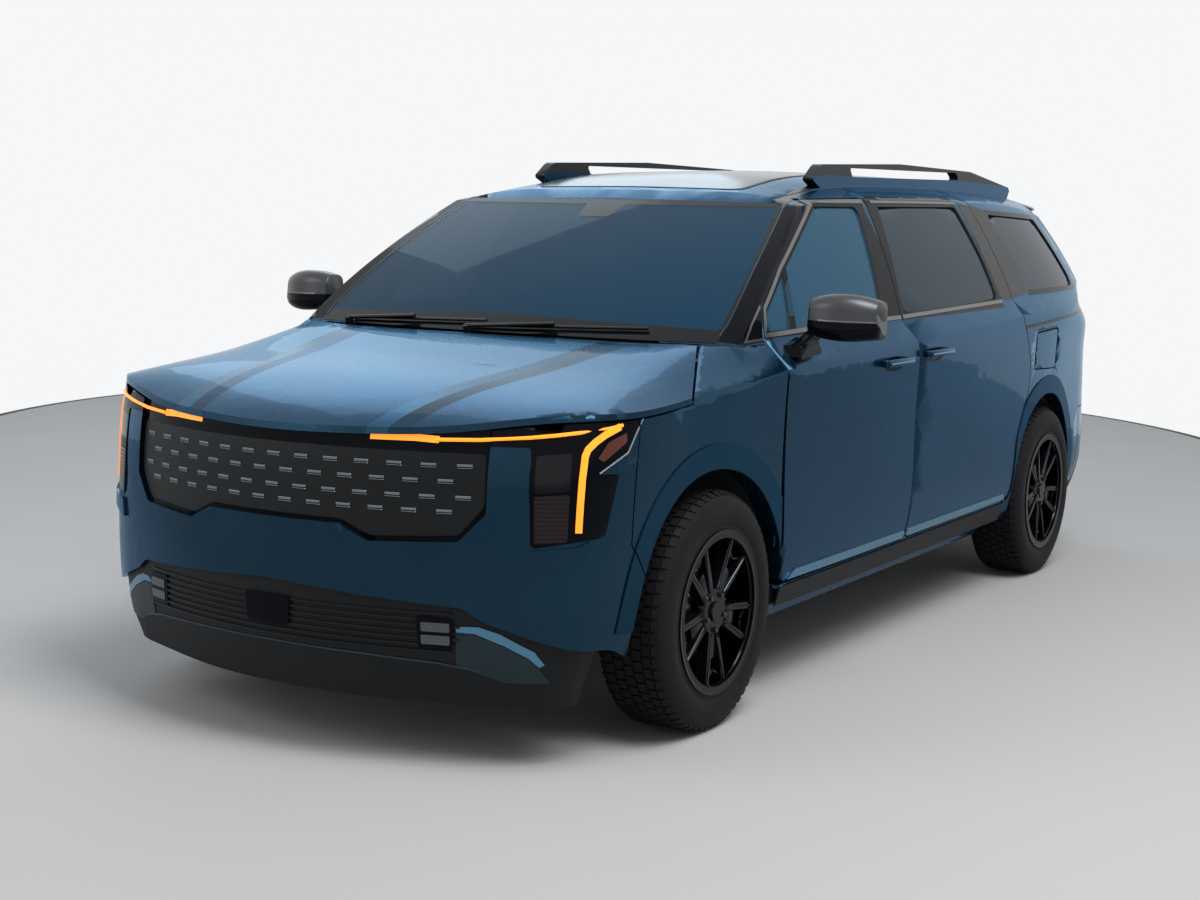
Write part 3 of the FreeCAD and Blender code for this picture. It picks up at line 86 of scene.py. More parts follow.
class MinivanPaint(bpy.types.PropertyGroup):
    """Colours that a user would change."""
    body: bpy.props.FloatVectorProperty(
        name="Body", description="Metallic body colour", subtype="COLOR", size=3,
        default=(0.006, 0.022, 0.038))
    flake: bpy.props.FloatVectorProperty(
        name="Flake", description="Colour of the bright flakes in the paint", subtype="COLOR", size=3,
        default=(0.018, 0.070, 0.125))
    trim: bpy.props.FloatVectorProperty(
        name="Trim", description="Satin grey-bronze of the mouldings", subtype="COLOR", size=3,
        default=(0.16, 0.155, 0.15))
    black: bpy.props.FloatVectorProperty(
        name="Black", description="Gloss black of pillars and grille", subtype="COLOR", size=3,
        default=(0.003, 0.004, 0.006))
    amber: bpy.props.FloatVectorProperty(
        name="Amber", description="Running light colour", subtype="COLOR", size=3,
        default=(1.0, 0.24, 0.02))
    seat: bpy.props.FloatVectorProperty(
        name="Seat", description="Seat leather colour", subtype="COLOR", size=3,
        default=(0.020, 0.020, 0.023))


class MinivanSizes(bpy.types.PropertyGroup):
    """Sizes of the added details."""
    dash_length: bpy.props.FloatProperty(
        name="Dash length", description="Length of one grille dash", default=0.045, unit="LENGTH")
    dash_pitch: bpy.props.FloatProperty(
        name="Dash pitch", description="Spacing of the grille dashes in a row", default=0.098, unit="LENGTH")
    dash_height: bpy.props.FloatProperty(
        name="Dash height", description="Height of one grille dash", default=0.007, unit="LENGTH")


class MinivanCamera(bpy.types.PropertyGroup):
    """The photograph's viewpoint."""
    place: bpy.props.FloatVectorProperty(
        name="Place", description="Camera position", subtype="TRANSLATION", size=3,
        default=(6.602, 3.548, 1.591))
    heading: bpy.props.FloatProperty(
        name="Heading", description="Direction of view in plan", subtype="ANGLE", default=-2.59706)
    dip: bpy.props.FloatProperty(
        name="Dip", description="Downward tilt of the view", subtype="ANGLE", default=0.130524)
    roll: bpy.props.FloatProperty(
        name="Roll", description="Roll about the line of view", subtype="ANGLE", default=0.0197189)
    lens: bpy.props.FloatProperty(
        name="Lens", description="Focal length on a 36 mm sensor", default=56.13, unit="CAMERA")


class Signal:
    """A shader number that takes part in Python arithmetic."""

    def __init__(self, finish, socket):
        self.finish = finish
        self.socket = socket

    def _with(self, operation, first, second=0.0):
        return self.finish.math(operation, first, second)

    def __add__(self, other):
        return self._with("ADD", self, other)

    def __radd__(self, other):
        return self._with("ADD", other, self)

    def __sub__(self, other):
        return self._with("SUBTRACT", self, other)

    def __rsub__(self, other):
        return self._with("SUBTRACT", other, self)

    def __mul__(self, other):
        return self._with("MULTIPLY", self, other)

    def __rmul__(self, other):
        return self._with("MULTIPLY", other, self)

    def __truediv__(self, other):
        return self._with("DIVIDE", self, other)

    def abs(self):
        return self._with("ABSOLUTE", self)

    def sine(self):
        return self._with("SINE", self)

    def floored(self):
        return self._with("MAXIMUM", self, 0.0)


class Finish:
    """A node material and the calls that build it."""

    def __init__(self, name, colour, roughness, metallic=0.0, **constants):
        self.material = bpy.data.materials.new(name)
        self.material.use_nodes = True
        self.tree = self.material.node_tree
        self.tree.nodes.clear()
        self.shader = self.node("ShaderNodeBsdfPrincipled")
        self.output = self.node("ShaderNodeOutputMaterial", {}, {"Surface": self.shader.outputs[0]})
        self.set("Base Color", colour)
        self.set("Roughness", roughness)
        self.set("Metallic", metallic)
        for key, value in constants.items():
            self.set(key.replace("_", " ").title().replace("Ior", "IOR"), value)
        self.place = self.node("ShaderNodeTexCoord").outputs["Object"]
        FINISHES[name] = self.material

    def node(self, kind, settings=None, sockets=None):
        made = self.tree.nodes.new(kind)
        for key, value in (settings or {}).items():
            setattr(made, key, value)
        for key, value in (sockets or {}).items():
            self.feed(made.inputs[key], value)
        return made

    def feed(self, socket, value):
        if isinstance(value, Signal):
            self.tree.links.new(value.socket, socket)
        elif isinstance(value, bpy.types.NodeSocket):
            self.tree.links.new(value, socket)
        elif hasattr(value, "__len__") and len(value) == 3 and socket.type == "RGBA":
            socket.default_value = (*value, 1)
        else:
            socket.default_value = value

    def set(self, name, value):
        self.feed(self.shader.inputs[name], value)

    def math(self, operation, first, second=0.0):
        made = self.node("ShaderNodeMath", {"operation": operation}, {0: first, 1: second})
        return Signal(self, made.outputs[0])

    def mix(self, factor, first, second):
        made = self.node("ShaderNodeMix", {"data_type": "RGBA"}, {0: factor, 6: first, 7: second})
        return made.outputs[2]

    def axis(self, name):
        made = self.node("ShaderNodeSeparateXYZ", {}, {0: self.place})
        return Signal(self, made.outputs["XYZ".index(name)])

    def noise(self, scale, detail=3.0, roughness=0.55, stretch=(1, 1, 1)):
        spot = self.node("ShaderNodeMapping", {}, {"Vector": self.place, "Scale": stretch}).outputs[0]
        made = self.node("ShaderNodeTexNoise", {}, {
            "Vector": spot, "Scale": scale, "Detail": detail, "Roughness": roughness})
        return Signal(self, made.outputs["Fac"])

    def cells(self, scale, feature="F1", output="Distance"):
        made = self.node("ShaderNodeTexVoronoi", {"feature": feature}, {
            "Vector": self.place, "Scale": scale})
        return Signal(self, made.outputs[output])

    def span(self, factor, low, high):
        made = self.node("ShaderNodeMapRange", {}, {
            "Value": factor, "To Min": low, "To Max": high})
        return Signal(self, made.outputs[0])

    def bump(self, height, strength, distance):
        made = self.node("ShaderNodeBump", {}, {
            "Height": height, "Strength": strength, "Distance": distance})
        self.feed(self.shader.inputs["Normal"], made.outputs[0])


def make_finishes():
    """Every finish of the minivan."""
    paint = bpy.context.scene.minivan_paint
    for name in ("teal_paint", "hood_paint", "teal_satin"):
        made = Finish(name, tuple(paint.body), 0.30, 0.8, coat_weight=0.5, coat_roughness=0.03, coat_ior=1.22,
                      specular_ior_level=0.5, specular_tint=(0.30, 0.66, 1.0, 1.0))
        flakes = made.cells(900, output="Distance") * 0.9 * made.noise(2.2, 2.0)
        made.set("Base Color", made.mix(flakes, tuple(paint.body), tuple(paint.flake)))
        made.set("Roughness", made.span(made.noise(40), 0.24, 0.31))
        if name == "teal_satin":
            made.set("Coat Weight", 0.12)
            made.set("Roughness", made.span(made.noise(40), 0.44, 0.52))
        if name == "hood_paint":
            fold = (made.axis("Y").abs() - (made.axis("X") * -0.145 + 0.735)).abs()
            made.bump((1.0 - fold * 16.0).floored(), 1.0, 0.022)

    made = Finish("gloss_black", tuple(paint.black), 0.07, specular_ior_level=0.06)
    made.set("Roughness", made.span(made.noise(30), 0.05, 0.11))

    made = Finish("grained_black", (0.006, 0.007, 0.008), 0.55, specular_ior_level=0.2)
    made.set("Roughness", made.span(made.noise(60), 0.48, 0.64))
    made.bump(made.cells(1100), 0.35, 0.0003)

    made = Finish("satin_trim", tuple(paint.trim), 0.32, 0.85)
    made.set("Roughness", made.span(made.noise(25, 4.0), 0.27, 0.38))
    made.bump(made.noise(400, 2.0, 0.5, (1, 12, 12)), 0.06, 0.0002)

    made = Finish("satin_cap", (0.05, 0.051, 0.054), 0.34, 0.5, coat_weight=0.1)
    made.bump(made.noise(700, 2.0), 0.08, 0.0002)

    made = Finish("bright_trim", (0.55, 0.60, 0.66), 0.2, 0.9)
    made.set("Roughness", made.span(made.noise(25, 4.0), 0.15, 0.26))

    for name, colour, alpha in (
            ("windshield_glass", (0.006, 0.048, 0.095), 0.66),
            ("front_glass", (0.010, 0.085, 0.150), 0.78),
            ("privacy_glass", (0.005, 0.022, 0.040), 0.92)):
        made = Finish(name, colour, 0.02, alpha=alpha, specular_ior_level=0.12)
        made.set("Alpha", made.span(made.noise(3.0, 1.0), alpha - 0.015, alpha + 0.015))

    for name, colour, rough, metal in (
            ("grille_mesh", (0.005, 0.006, 0.007), 0.42, 0.0),
            ("satin_black", (0.008, 0.008, 0.009), 0.38, 0.0),
            ("frit", (0.004, 0.005, 0.006), 0.10, 0.0), ("garnish", (0.018, 0.020, 0.022), 0.36, 0.3),
            ("dash_metal", (0.22, 0.26, 0.27), 0.28, 0.9), ("dark_metal", (0.05, 0.065, 0.075), 0.3, 0.9),
            # The bright trim finish is real satin metal; its blue tint is a painted sky reflection.
            # The cheek grey is painted shade: the body-coloured lower bumper corner as the paint looks in
            # shadow.
            ("sky_trim", (0.10, 0.24, 0.36), 0.26, 0.85), ("cheek_painted_shade", (0.020, 0.034, 0.040), 0.45, 0.3),
            ("lamp_brown", (0.016, 0.011, 0.012), 0.16, 0.2),
            ("lamp_inner", (0.006, 0.006, 0.008), 0.08, 0.0),
            ("fog_lens", (0.10, 0.11, 0.12), 0.16, 0.6), ("mirror_glass", (0.62, 0.66, 0.70), 0.02, 1.0),
            ("screen_glass", (0.006, 0.007, 0.009), 0.08, 0.0),
            ("roof_glass", (0.006, 0.026, 0.044), 0.16, 0.7),
            ("clear_tail", (0.32, 0.20, 0.20), 0.10, 0.3)):
        made = Finish(name, colour, rough, metal, specular_ior_level=0.2)
        made.set("Roughness", made.span(made.noise(35, 4.0), rough * 0.8, rough * 1.2))
        if name in ("garnish", "grille_mesh"):
            made.bump(made.cells(260), 0.5, 0.0012)
        if name in ("fog_lens", "lamp_brown"):
            made.bump((made.axis("Z") * 520.0).sine(), 0.3, 0.0008)
    made = Finish("amber_light", tuple(paint.amber), 0.25, emission_color=(1.0, 0.22, 0.015),
                  emission_strength=1.3)
    height = made.span(made.axis("Z"), -0.6, 1.1)
    made.set("Base Color", made.mix(height, (1.0, 0.16, 0.03), (1.0, 0.36, 0.02)))
    made = Finish("amber_lens", (0.10, 0.018, 0.006), 0.2, coat_weight=0.3)
    made.bump((made.axis("X") * 900.0).sine(), 0.4, 0.0006)
    made = Finish("red_lens", (0.30, 0.006, 0.010), 0.10, coat_weight=1.0)
    ribs = (made.axis("Z") * 700.0).sine()
    made.set("Base Color", made.mix(made.span(ribs, 0.2, 0.8), (0.22, 0.004, 0.006), (0.42, 0.012, 0.018)))
    made.bump(ribs, 0.3, 0.0006)

    made = Finish("tyre_rubber", (0.006, 0.006, 0.007), 0.72, specular_ior_level=0.2)
    made.set("Base Color", made.mix(made.noise(14, 5.0), (0.0025, 0.0025, 0.003), (0.006, 0.006, 0.007)))
    made.set("Roughness", made.span(made.noise(50), 0.6, 0.85))
    made.bump(made.noise(260, 3.0), 0.25, 0.0005)
    made = Finish("rim_black", (0.003, 0.003, 0.004), 0.13, specular_ior_level=0.18)
    made.set("Roughness", made.span(made.noise(40), 0.1, 0.18))
    made = Finish("disc_steel", (0.28, 0.28, 0.29), 0.35, 1.0)
    made.bump(made.noise(300, 2.0, 0.5, (1, 0.1, 1)), 0.1, 0.0003)

    made = Finish("chassis_black", (0.02, 0.02, 0.021), 0.62)
    made.set("Base Color", made.mix(made.noise(9, 5.0), (0.014, 0.014, 0.015), (0.04, 0.037, 0.034)))
    made.bump(made.noise(120, 4.0), 0.3, 0.001)
    made = Finish("cast_metal", (0.34, 0.34, 0.35), 0.5, 0.9)
    made.bump(made.noise(160, 4.0), 0.4, 0.001)
    made = Finish("exhaust_steel", (0.42, 0.40, 0.37), 0.36, 1.0)
    made.set("Roughness", made.span(made.noise(18, 4.0), 0.25, 0.5))

    made = Finish("seat_leather", tuple(paint.seat), 0.5, sheen_weight=0.15)
    made.set("Base Color", made.mix(made.noise(12, 4.0), tuple(paint.seat), (0.035, 0.034, 0.036)))
    made.bump(made.cells(420) + made.noise(60) * 0.4, 0.3, 0.0006)
    made = Finish("cabin_plastic", (0.02, 0.02, 0.022), 0.6)
    made.bump(made.cells(700), 0.3, 0.0004)
    made = Finish("cabin_carpet", (0.018, 0.018, 0.019), 0.95)
    made.bump(made.noise(900, 2.0), 0.8, 0.002)


def body_of(node):
    """The CAD body that a node rides on."""
    return frame["nodes"][node]["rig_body"]


def finished(name, bm, finish, body, sharp=32.0):
    """Turn a bmesh into a smooth-shaded piece that rides on a body."""
    for face in bm.faces:
        face.smooth = True
    mesh = bpy.data.meshes.new(name)
    bm.to_mesh(mesh)
    bm.free()
    mesh.materials.append(FINISHES[finish])
    mesh.set_sharp_from_angle(angle=math.radians(sharp))
    piece = bpy.data.objects.new(name, mesh)
    bpy.context.scene.collection.objects.link(piece)
    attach(piece, body)
    return piece


def outward(bm):
    """Merge doubles and turn every face outwards."""
    bmesh.ops.remove_doubles(bm, verts=bm.verts, dist=1e-5)
    bmesh.ops.recalc_face_normals(bm, faces=bm.faces)
    return bm


REAR_FOLD = (0.2765, 0.2865)
FOLD_FADE = 0.42
FOLD_TOP = 1.30
FOLD_FRONT = -2.25
STEPPED = ("tailgate", "rear_bumper")


@functools.cache
def solid(node):
    """A CAD node's mesh, with the fold in the rear face drawn straight."""
    mesh = frame["nodes"][node].data
    if node not in STEPPED:
        return mesh
    tree = BVHTree.FromPolygons([vertex.co.copy() for vertex in mesh.vertices],
                                [polygon.vertices[:] for polygon in mesh.polygons])
    bm = bmesh.new()
    bm.from_mesh(mesh)
    bmesh.ops.remove_doubles(bm, verts=bm.verts, dist=2e-6)
    low, high = REAR_FOLD
    fold = []
    for vertex in bm.verts:
        x, y, z = vertex.co
        if abs(y) < low or x > FOLD_FRONT:
            continue
        step = (0.0106 - 0.0008 * z) * min(1.0, max(0.0, (FOLD_TOP - z) / 0.08))
        if abs(y) > high:
            away = min(1.0, (abs(y) - high) / FOLD_FADE)
            vertex.co.x -= step * (1.0 - away * away * (3.0 - 2.0 * away))
            continue
        hit = tree.ray_cast(Vector((-4, math.copysign(low - 0.001, y), z)), AHEAD)[0]
        if hit is not None and step and x - hit.x < 0.02:
            vertex.co.x = hit.x + 0.0006
            vertex.co.y = math.copysign(sum(REAR_FOLD) / 2, y)
            fold.append(vertex)
    bmesh.ops.remove_doubles(bm, verts=fold, dist=4e-4)
    bmesh.ops.dissolve_degenerate(bm, dist=2e-5, edges=bm.edges[:])
    drawn = bpy.data.meshes.new(node + "_drawn")
    bm.to_mesh(drawn)
    bm.free()
    return drawn


def skin(node, finish, sharp=28.0):
    """A merged, smooth-shaded copy of a CAD node, shown in its place."""
    bm = bmesh.new()
    bm.from_mesh(solid(node))
    bmesh.ops.remove_doubles(bm, verts=bm.verts, dist=2e-6)
    bm.normal_update()
    lining = bm.copy()
    inner = LINED.get(node.rsplit("_", 1)[0], LINED.get(node))
    if inner:
        sign = -1 if node.endswith("_right") else 1
        for mesh, keep in ((bm, False), (lining, True)):
            away = [face for face in mesh.faces
                    if inner(face.calc_center_median(), face.normal, sign) is not keep]
            bmesh.ops.delete(mesh, geom=away, context="FACES")
        finished(node + "_lining", lining, "cabin_plastic", body_of(node), sharp)
    else:
        lining.free()
    piece = finished(node + "_skin", bm, finish, body_of(node), sharp)
    if finish in ("teal_paint", "hood_paint"):
        normals = piece.modifiers.new("normals", "WEIGHTED_NORMAL")
        normals.keep_sharp = True
    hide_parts(node)
    return piece


def door_lining(centre, normal, sign):
    """Inward faces and window reveals of a door."""
    return normal.y * sign < -0.2 or (1.19 < centre.z < 1.625 and abs(normal.y) < 0.5)


def side_lining(centre, normal, sign):
    """Inward faces of the body side and the quarter window's reveal."""
    reveal = 1.2 < centre.z < 1.6 and abs(normal.y) < 0.5 and -2.09 < centre.x < -0.9
    return normal.y * sign < -0.3 or reveal


def roof_lining(centre, normal, sign):
    """Downward faces of the roof."""
    return normal.z < -0.3


LINED = {"front_door": door_lining, "sliding_door": door_lining, "body_side": side_lining,
         "roof_panel": roof_lining}


VIEWS = {
    "front": (AHEAD, (1, 2)), "back": (-AHEAD, (1, 2)), "side": (LEFT, (0, 2)), "top": (UP, (0, 1)),
    "corner": (Vector((1, 1, 0)).normalized(), None), "low": (-UP, (0, 1)),
}
MM = 0.001


def axes_of(view):
    """In-plane axes and outward direction of a view."""
    out = VIEWS[view][0]
    first = AHEAD if abs(out.z) > 0.9 else UP.cross(out).normalized()
    return first, out.cross(first), out


def flat_points(points, view):
    """Points in millimetres laid in the plane of a view."""
    first, second, _ = axes_of(view)
    flat = []
    for point in points:
        place = Vector((0, 0, 0))
        if len(point) == 3:
            place = Vector(point)
        else:
            for axis, value in zip(VIEWS[view][1], point):
                place[axis] = value
        flat.append(Vector((place.dot(first), place.dot(second))) * MM)
    return flat


def ribbon(path, width):
    """The outline of a strip of one width along a bent path."""
    sides = ([], [])
    for index, spot in enumerate(path):
        before = (spot - path[index - 1]).normalized() if index else None
        after = (path[index + 1] - spot).normalized() if index + 1 < len(path) else None
        along = ((before or after) + (after or before)).normalized()
        across = Vector((-along.y, along.x))
        reach = width / 2 / max(0.4, along.dot(after or before))
        sides[0].append(spot + across * reach)
        sides[1].append(spot - across * reach)
    return sides[0] + sides[1][::-1]


def ring_round(points, rounding=0.0, inset=0.0, segments=4):
    """A closed outline moved inwards and rounded at its corners."""
    bm = bmesh.new()
    face = bm.faces.new([bm.verts.new((spot.x, spot.y, 0)) for spot in points])
    if inset:
        bm.normal_update()
        rim = bmesh.ops.inset_region(bm, faces=[face], thickness=inset, use_boundary=True,
                                     use_even_offset=True)["faces"]
        bmesh.ops.delete(bm, geom=rim, context="FACES")
    if rounding:
        bmesh.ops.bevel(bm, geom=bm.verts[:], offset=rounding, offset_type="OFFSET", segments=segments,
                        affect="VERTICES", profile=0.5, material=-1, clamp_overlap=True)
    loops = max(bm.faces, key=lambda item: item.calc_area()).loops
    loop = [corner.vert.co.xy.copy() for corner in loops]
    bm.free()
    return loop


def inside(spot, loop):
    """Whether a flat point lies in a closed outline."""
    odd = False
    for start, end in zip(loop, loop[1:] + loop[:1]):
        if (start.y > spot.y) != (end.y > spot.y):
            crossing = start.x + (end.x - start.x) * (spot.y - start.y) / (end.y - start.y)
            odd ^= spot.x < crossing
    return odd


@functools.lru_cache(maxsize=None)
def skin_tree(nodes):
    """One search tree over several CAD nodes."""
    points = []
    faces = []
    for node in nodes:
        mesh = solid(node)
        base = len(points)
        points += [vertex.co.copy() for vertex in mesh.vertices]
        faces += [[base + index for index in polygon.vertices] for polygon in mesh.polygons]
    return BVHTree.FromPolygons(points, faces)


def cut_out(nodes, view, loops, steep):
    """The part of a skin that shows inside a flat outline, less its holes."""
    first, second, out = axes_of(view)
    low = Vector((min(spot.x for spot in loops[0]), min(spot.y for spot in loops[0])))
    high = Vector((max(spot.x for spot in loops[0]), max(spot.y for spot in loops[0])))
    bm = bmesh.new()
    for node in nodes:
        bm.from_mesh(solid(node))
    bmesh.ops.remove_doubles(bm, verts=bm.verts, dist=2e-6)
    bm.normal_update()
    away = []
    for face in bm.faces:
        spans = [(v.co.dot(first), v.co.dot(second)) for v in face.verts]
        if (face.normal.dot(out) < steep or max(s[0] for s in spans) < low.x
                or min(s[0] for s in spans) > high.x or max(s[1] for s in spans) < low.y
                or min(s[1] for s in spans) > high.y):
            away.append(face)
    bmesh.ops.delete(bm, geom=away, context="FACES")
    for loop in loops:
        for start, end in zip(loop, loop[1:] + loop[:1]):
            run = end - start
            if run.length < 1e-5:
                continue
            bmesh.ops.bisect_plane(
                bm, geom=bm.verts[:] + bm.edges[:] + bm.faces[:], dist=1e-6,
                plane_co=first * start.x + second * start.y,
                plane_no=(second * run.x - first * run.y).normalized())
    tree = skin_tree(tuple(nodes))
    away = []
    for face in bm.faces:
        middle = face.calc_center_median()
        spot = Vector((middle.dot(first), middle.dot(second)))
        hidden = tree.ray_cast(middle + out * 0.0015, out, 0.6)[0] is not None
        if hidden or not inside(spot, loops[0]) or any(inside(spot, loop) for loop in loops[1:]):
            away.append(face)
    bmesh.ops.delete(bm, geom=away, context="FACES")
    bmesh.ops.dissolve_degenerate(bm, dist=2e-5, edges=bm.edges[:])
    bm.normal_update()
    return bm


def raise_up(bm, depth, lift):
    """Give a cut-out skin a depth above the surface it came from."""
    for vertex in bm.verts:
        vertex.co += vertex.normal * lift
    made = bmesh.ops.extrude_face_region(bm, geom=bm.faces[:])
    raised = [item for item in made["geom"] if isinstance(item, bmesh.types.BMVert)]
    bm.normal_update()
    for vertex, normal in [(item, item.normal.copy()) for item in raised]:
        vertex.co += normal * depth
    bmesh.ops.recalc_face_normals(bm, faces=bm.faces)
    return bm


def patch(name, nodes, points, view, finish, slot, depth=0.0012, lift=-0.0002, rounding=0.0,
          ring=0.0, width=0.0, steep=0.12, bevel=0.0, body="body", segments=4, flip=None):
    """Trim cut from the body's own skin by an outline seen from one side.

    A width makes the points a path; a ring leaves only a frame. A second body
    in flip, or body itself with flip set to True, gets the mirrored piece.
    """
    flat = flat_points(points, view)
    if width:
        flat = ribbon(flat, width * MM)
    loops = [ring_round(flat, rounding * MM, 0.0, segments)]
    if ring:
        loops.append(ring_round(flat, max(rounding - ring, 0) * MM, ring * MM, segments))
    bm = raise_up(cut_out(nodes, view, loops, steep), depth, lift)
    pieces = []
    if flip:
        other = bm.copy()
        flip_side(other)
        rider = body if flip is True else flip
        pieces.append(finished(name + "_right", other, finish, rider))
        name += "_left"
    pieces.append(finished(name, bm, finish, body))
    if bevel:
        for piece in pieces:
            softened(piece, bevel)
    return pieces


def flip_side(bm):
    """Mirror a whole bmesh to the right side."""
    bmesh.ops.scale(bm, vec=(1, -1, 1), verts=bm.verts)
    bmesh.ops.reverse_faces(bm, faces=bm.faces)
    return bm


def softened(piece, width, segments=2, angle=35.0):
    """A small rounded edge on a finished piece."""
    bevel = piece.modifiers.new("edges", "BEVEL")
    bevel.width = width
    bevel.segments = segments
    bevel.limit_method = "ANGLE"
    bevel.angle_limit = math.radians(angle)
    return piece


def block(bm, centre, size, turn=None, edge=0.0, segments=2):
    """A box in millimetres with rounded edges."""
    place = Matrix.Translation(Vector(centre) * MM)
    if turn is not None:
        place = place @ turn.to_4x4()
    made = bmesh.ops.create_cube(bm, size=1.0, matrix=place @ Matrix.Diagonal((*(Vector(size) * MM), 1)))
    if edge:
        edges = list({item for vertex in made["verts"] for item in vertex.link_edges})
        bmesh.ops.bevel(bm, geom=edges, offset=edge * MM, offset_type="OFFSET", segments=segments,
                        affect="EDGES", profile=0.5, material=-1, clamp_overlap=True)
    return bm


def disc(bm, centre, axis, radius, depth, sides=32, top=None):
    """A cylinder or cone in millimetres about any axis."""
    turn = Vector(axis).to_track_quat("Z", "Y").to_matrix().to_4x4()
    bmesh.ops.create_cone(
        bm, cap_ends=True, segments=sides, radius1=radius * MM, depth=depth * MM,
        radius2=(radius if top is None else top) * MM, matrix=Matrix.Translation(Vector(centre) * MM) @ turn)
    return bm


def rod(bm, path, radius, sides=10):
    """A round bar in millimetres along a bent path."""
    for start, end in zip(path, path[1:]):
        run = Vector(end) - Vector(start)
        disc(bm, (Vector(start) + Vector(end)) / 2, run, radius, run.length, sides)
    for spot in path[1:-1]:
        bmesh.ops.create_uvsphere(bm, u_segments=sides, v_segments=6, radius=radius * MM,
                                  matrix=Matrix.Translation(Vector(spot) * MM))
    return bm


def both(name, make, finish, bodies=("body", "body"), bevel=0.0, sharp=32.0):
    """A built piece for the left side and its mirror image."""
    for (hand, sign), body in zip(HANDS, bodies):
        bm = bmesh.new()
        make(bm)
        if sign < 0:
            flip_side(bm)
        piece = finished(f"{name}_{hand}", bm, finish, body, sharp)
        if bevel:
            softened(piece, bevel)


def single(name, make, finish, body="body", sharp=32.0):
    """A built piece in the middle of the car."""
    bm = bmesh.new()
    make(bm)
    return finished(name, bm, finish, body, sharp)


def circle_points(x, z, radius, low=0.0, high=360.0, count=48):
    """Points on an arc in side view, in millimetres and degrees."""
    turns = [math.radians(low + (high - low) * index / count) for index in range(count + 1)]
    return [(x + radius * math.cos(turn), z + radius * math.sin(turn)) for turn in turns]


def wheel_profile(bm, profile, sides=96):
    """Spin a profile of (radius, offset) about the Y axis through the origin."""
    verts = [bm.verts.new((radius * MM, offset * MM, 0)) for radius, offset in profile]
    edges = [bm.edges.new(pair) for pair in zip(verts, verts[1:])]
    bmesh.ops.spin(bm, geom=verts + edges, cent=(0, 0, 0), axis=(0, 1, 0), dvec=(0, 0, 0),
                   angle=math.tau, steps=sides, use_merge=True)
    return outward(bm)


FLOOR_END = 12.92
FLOOR_REACH = 60


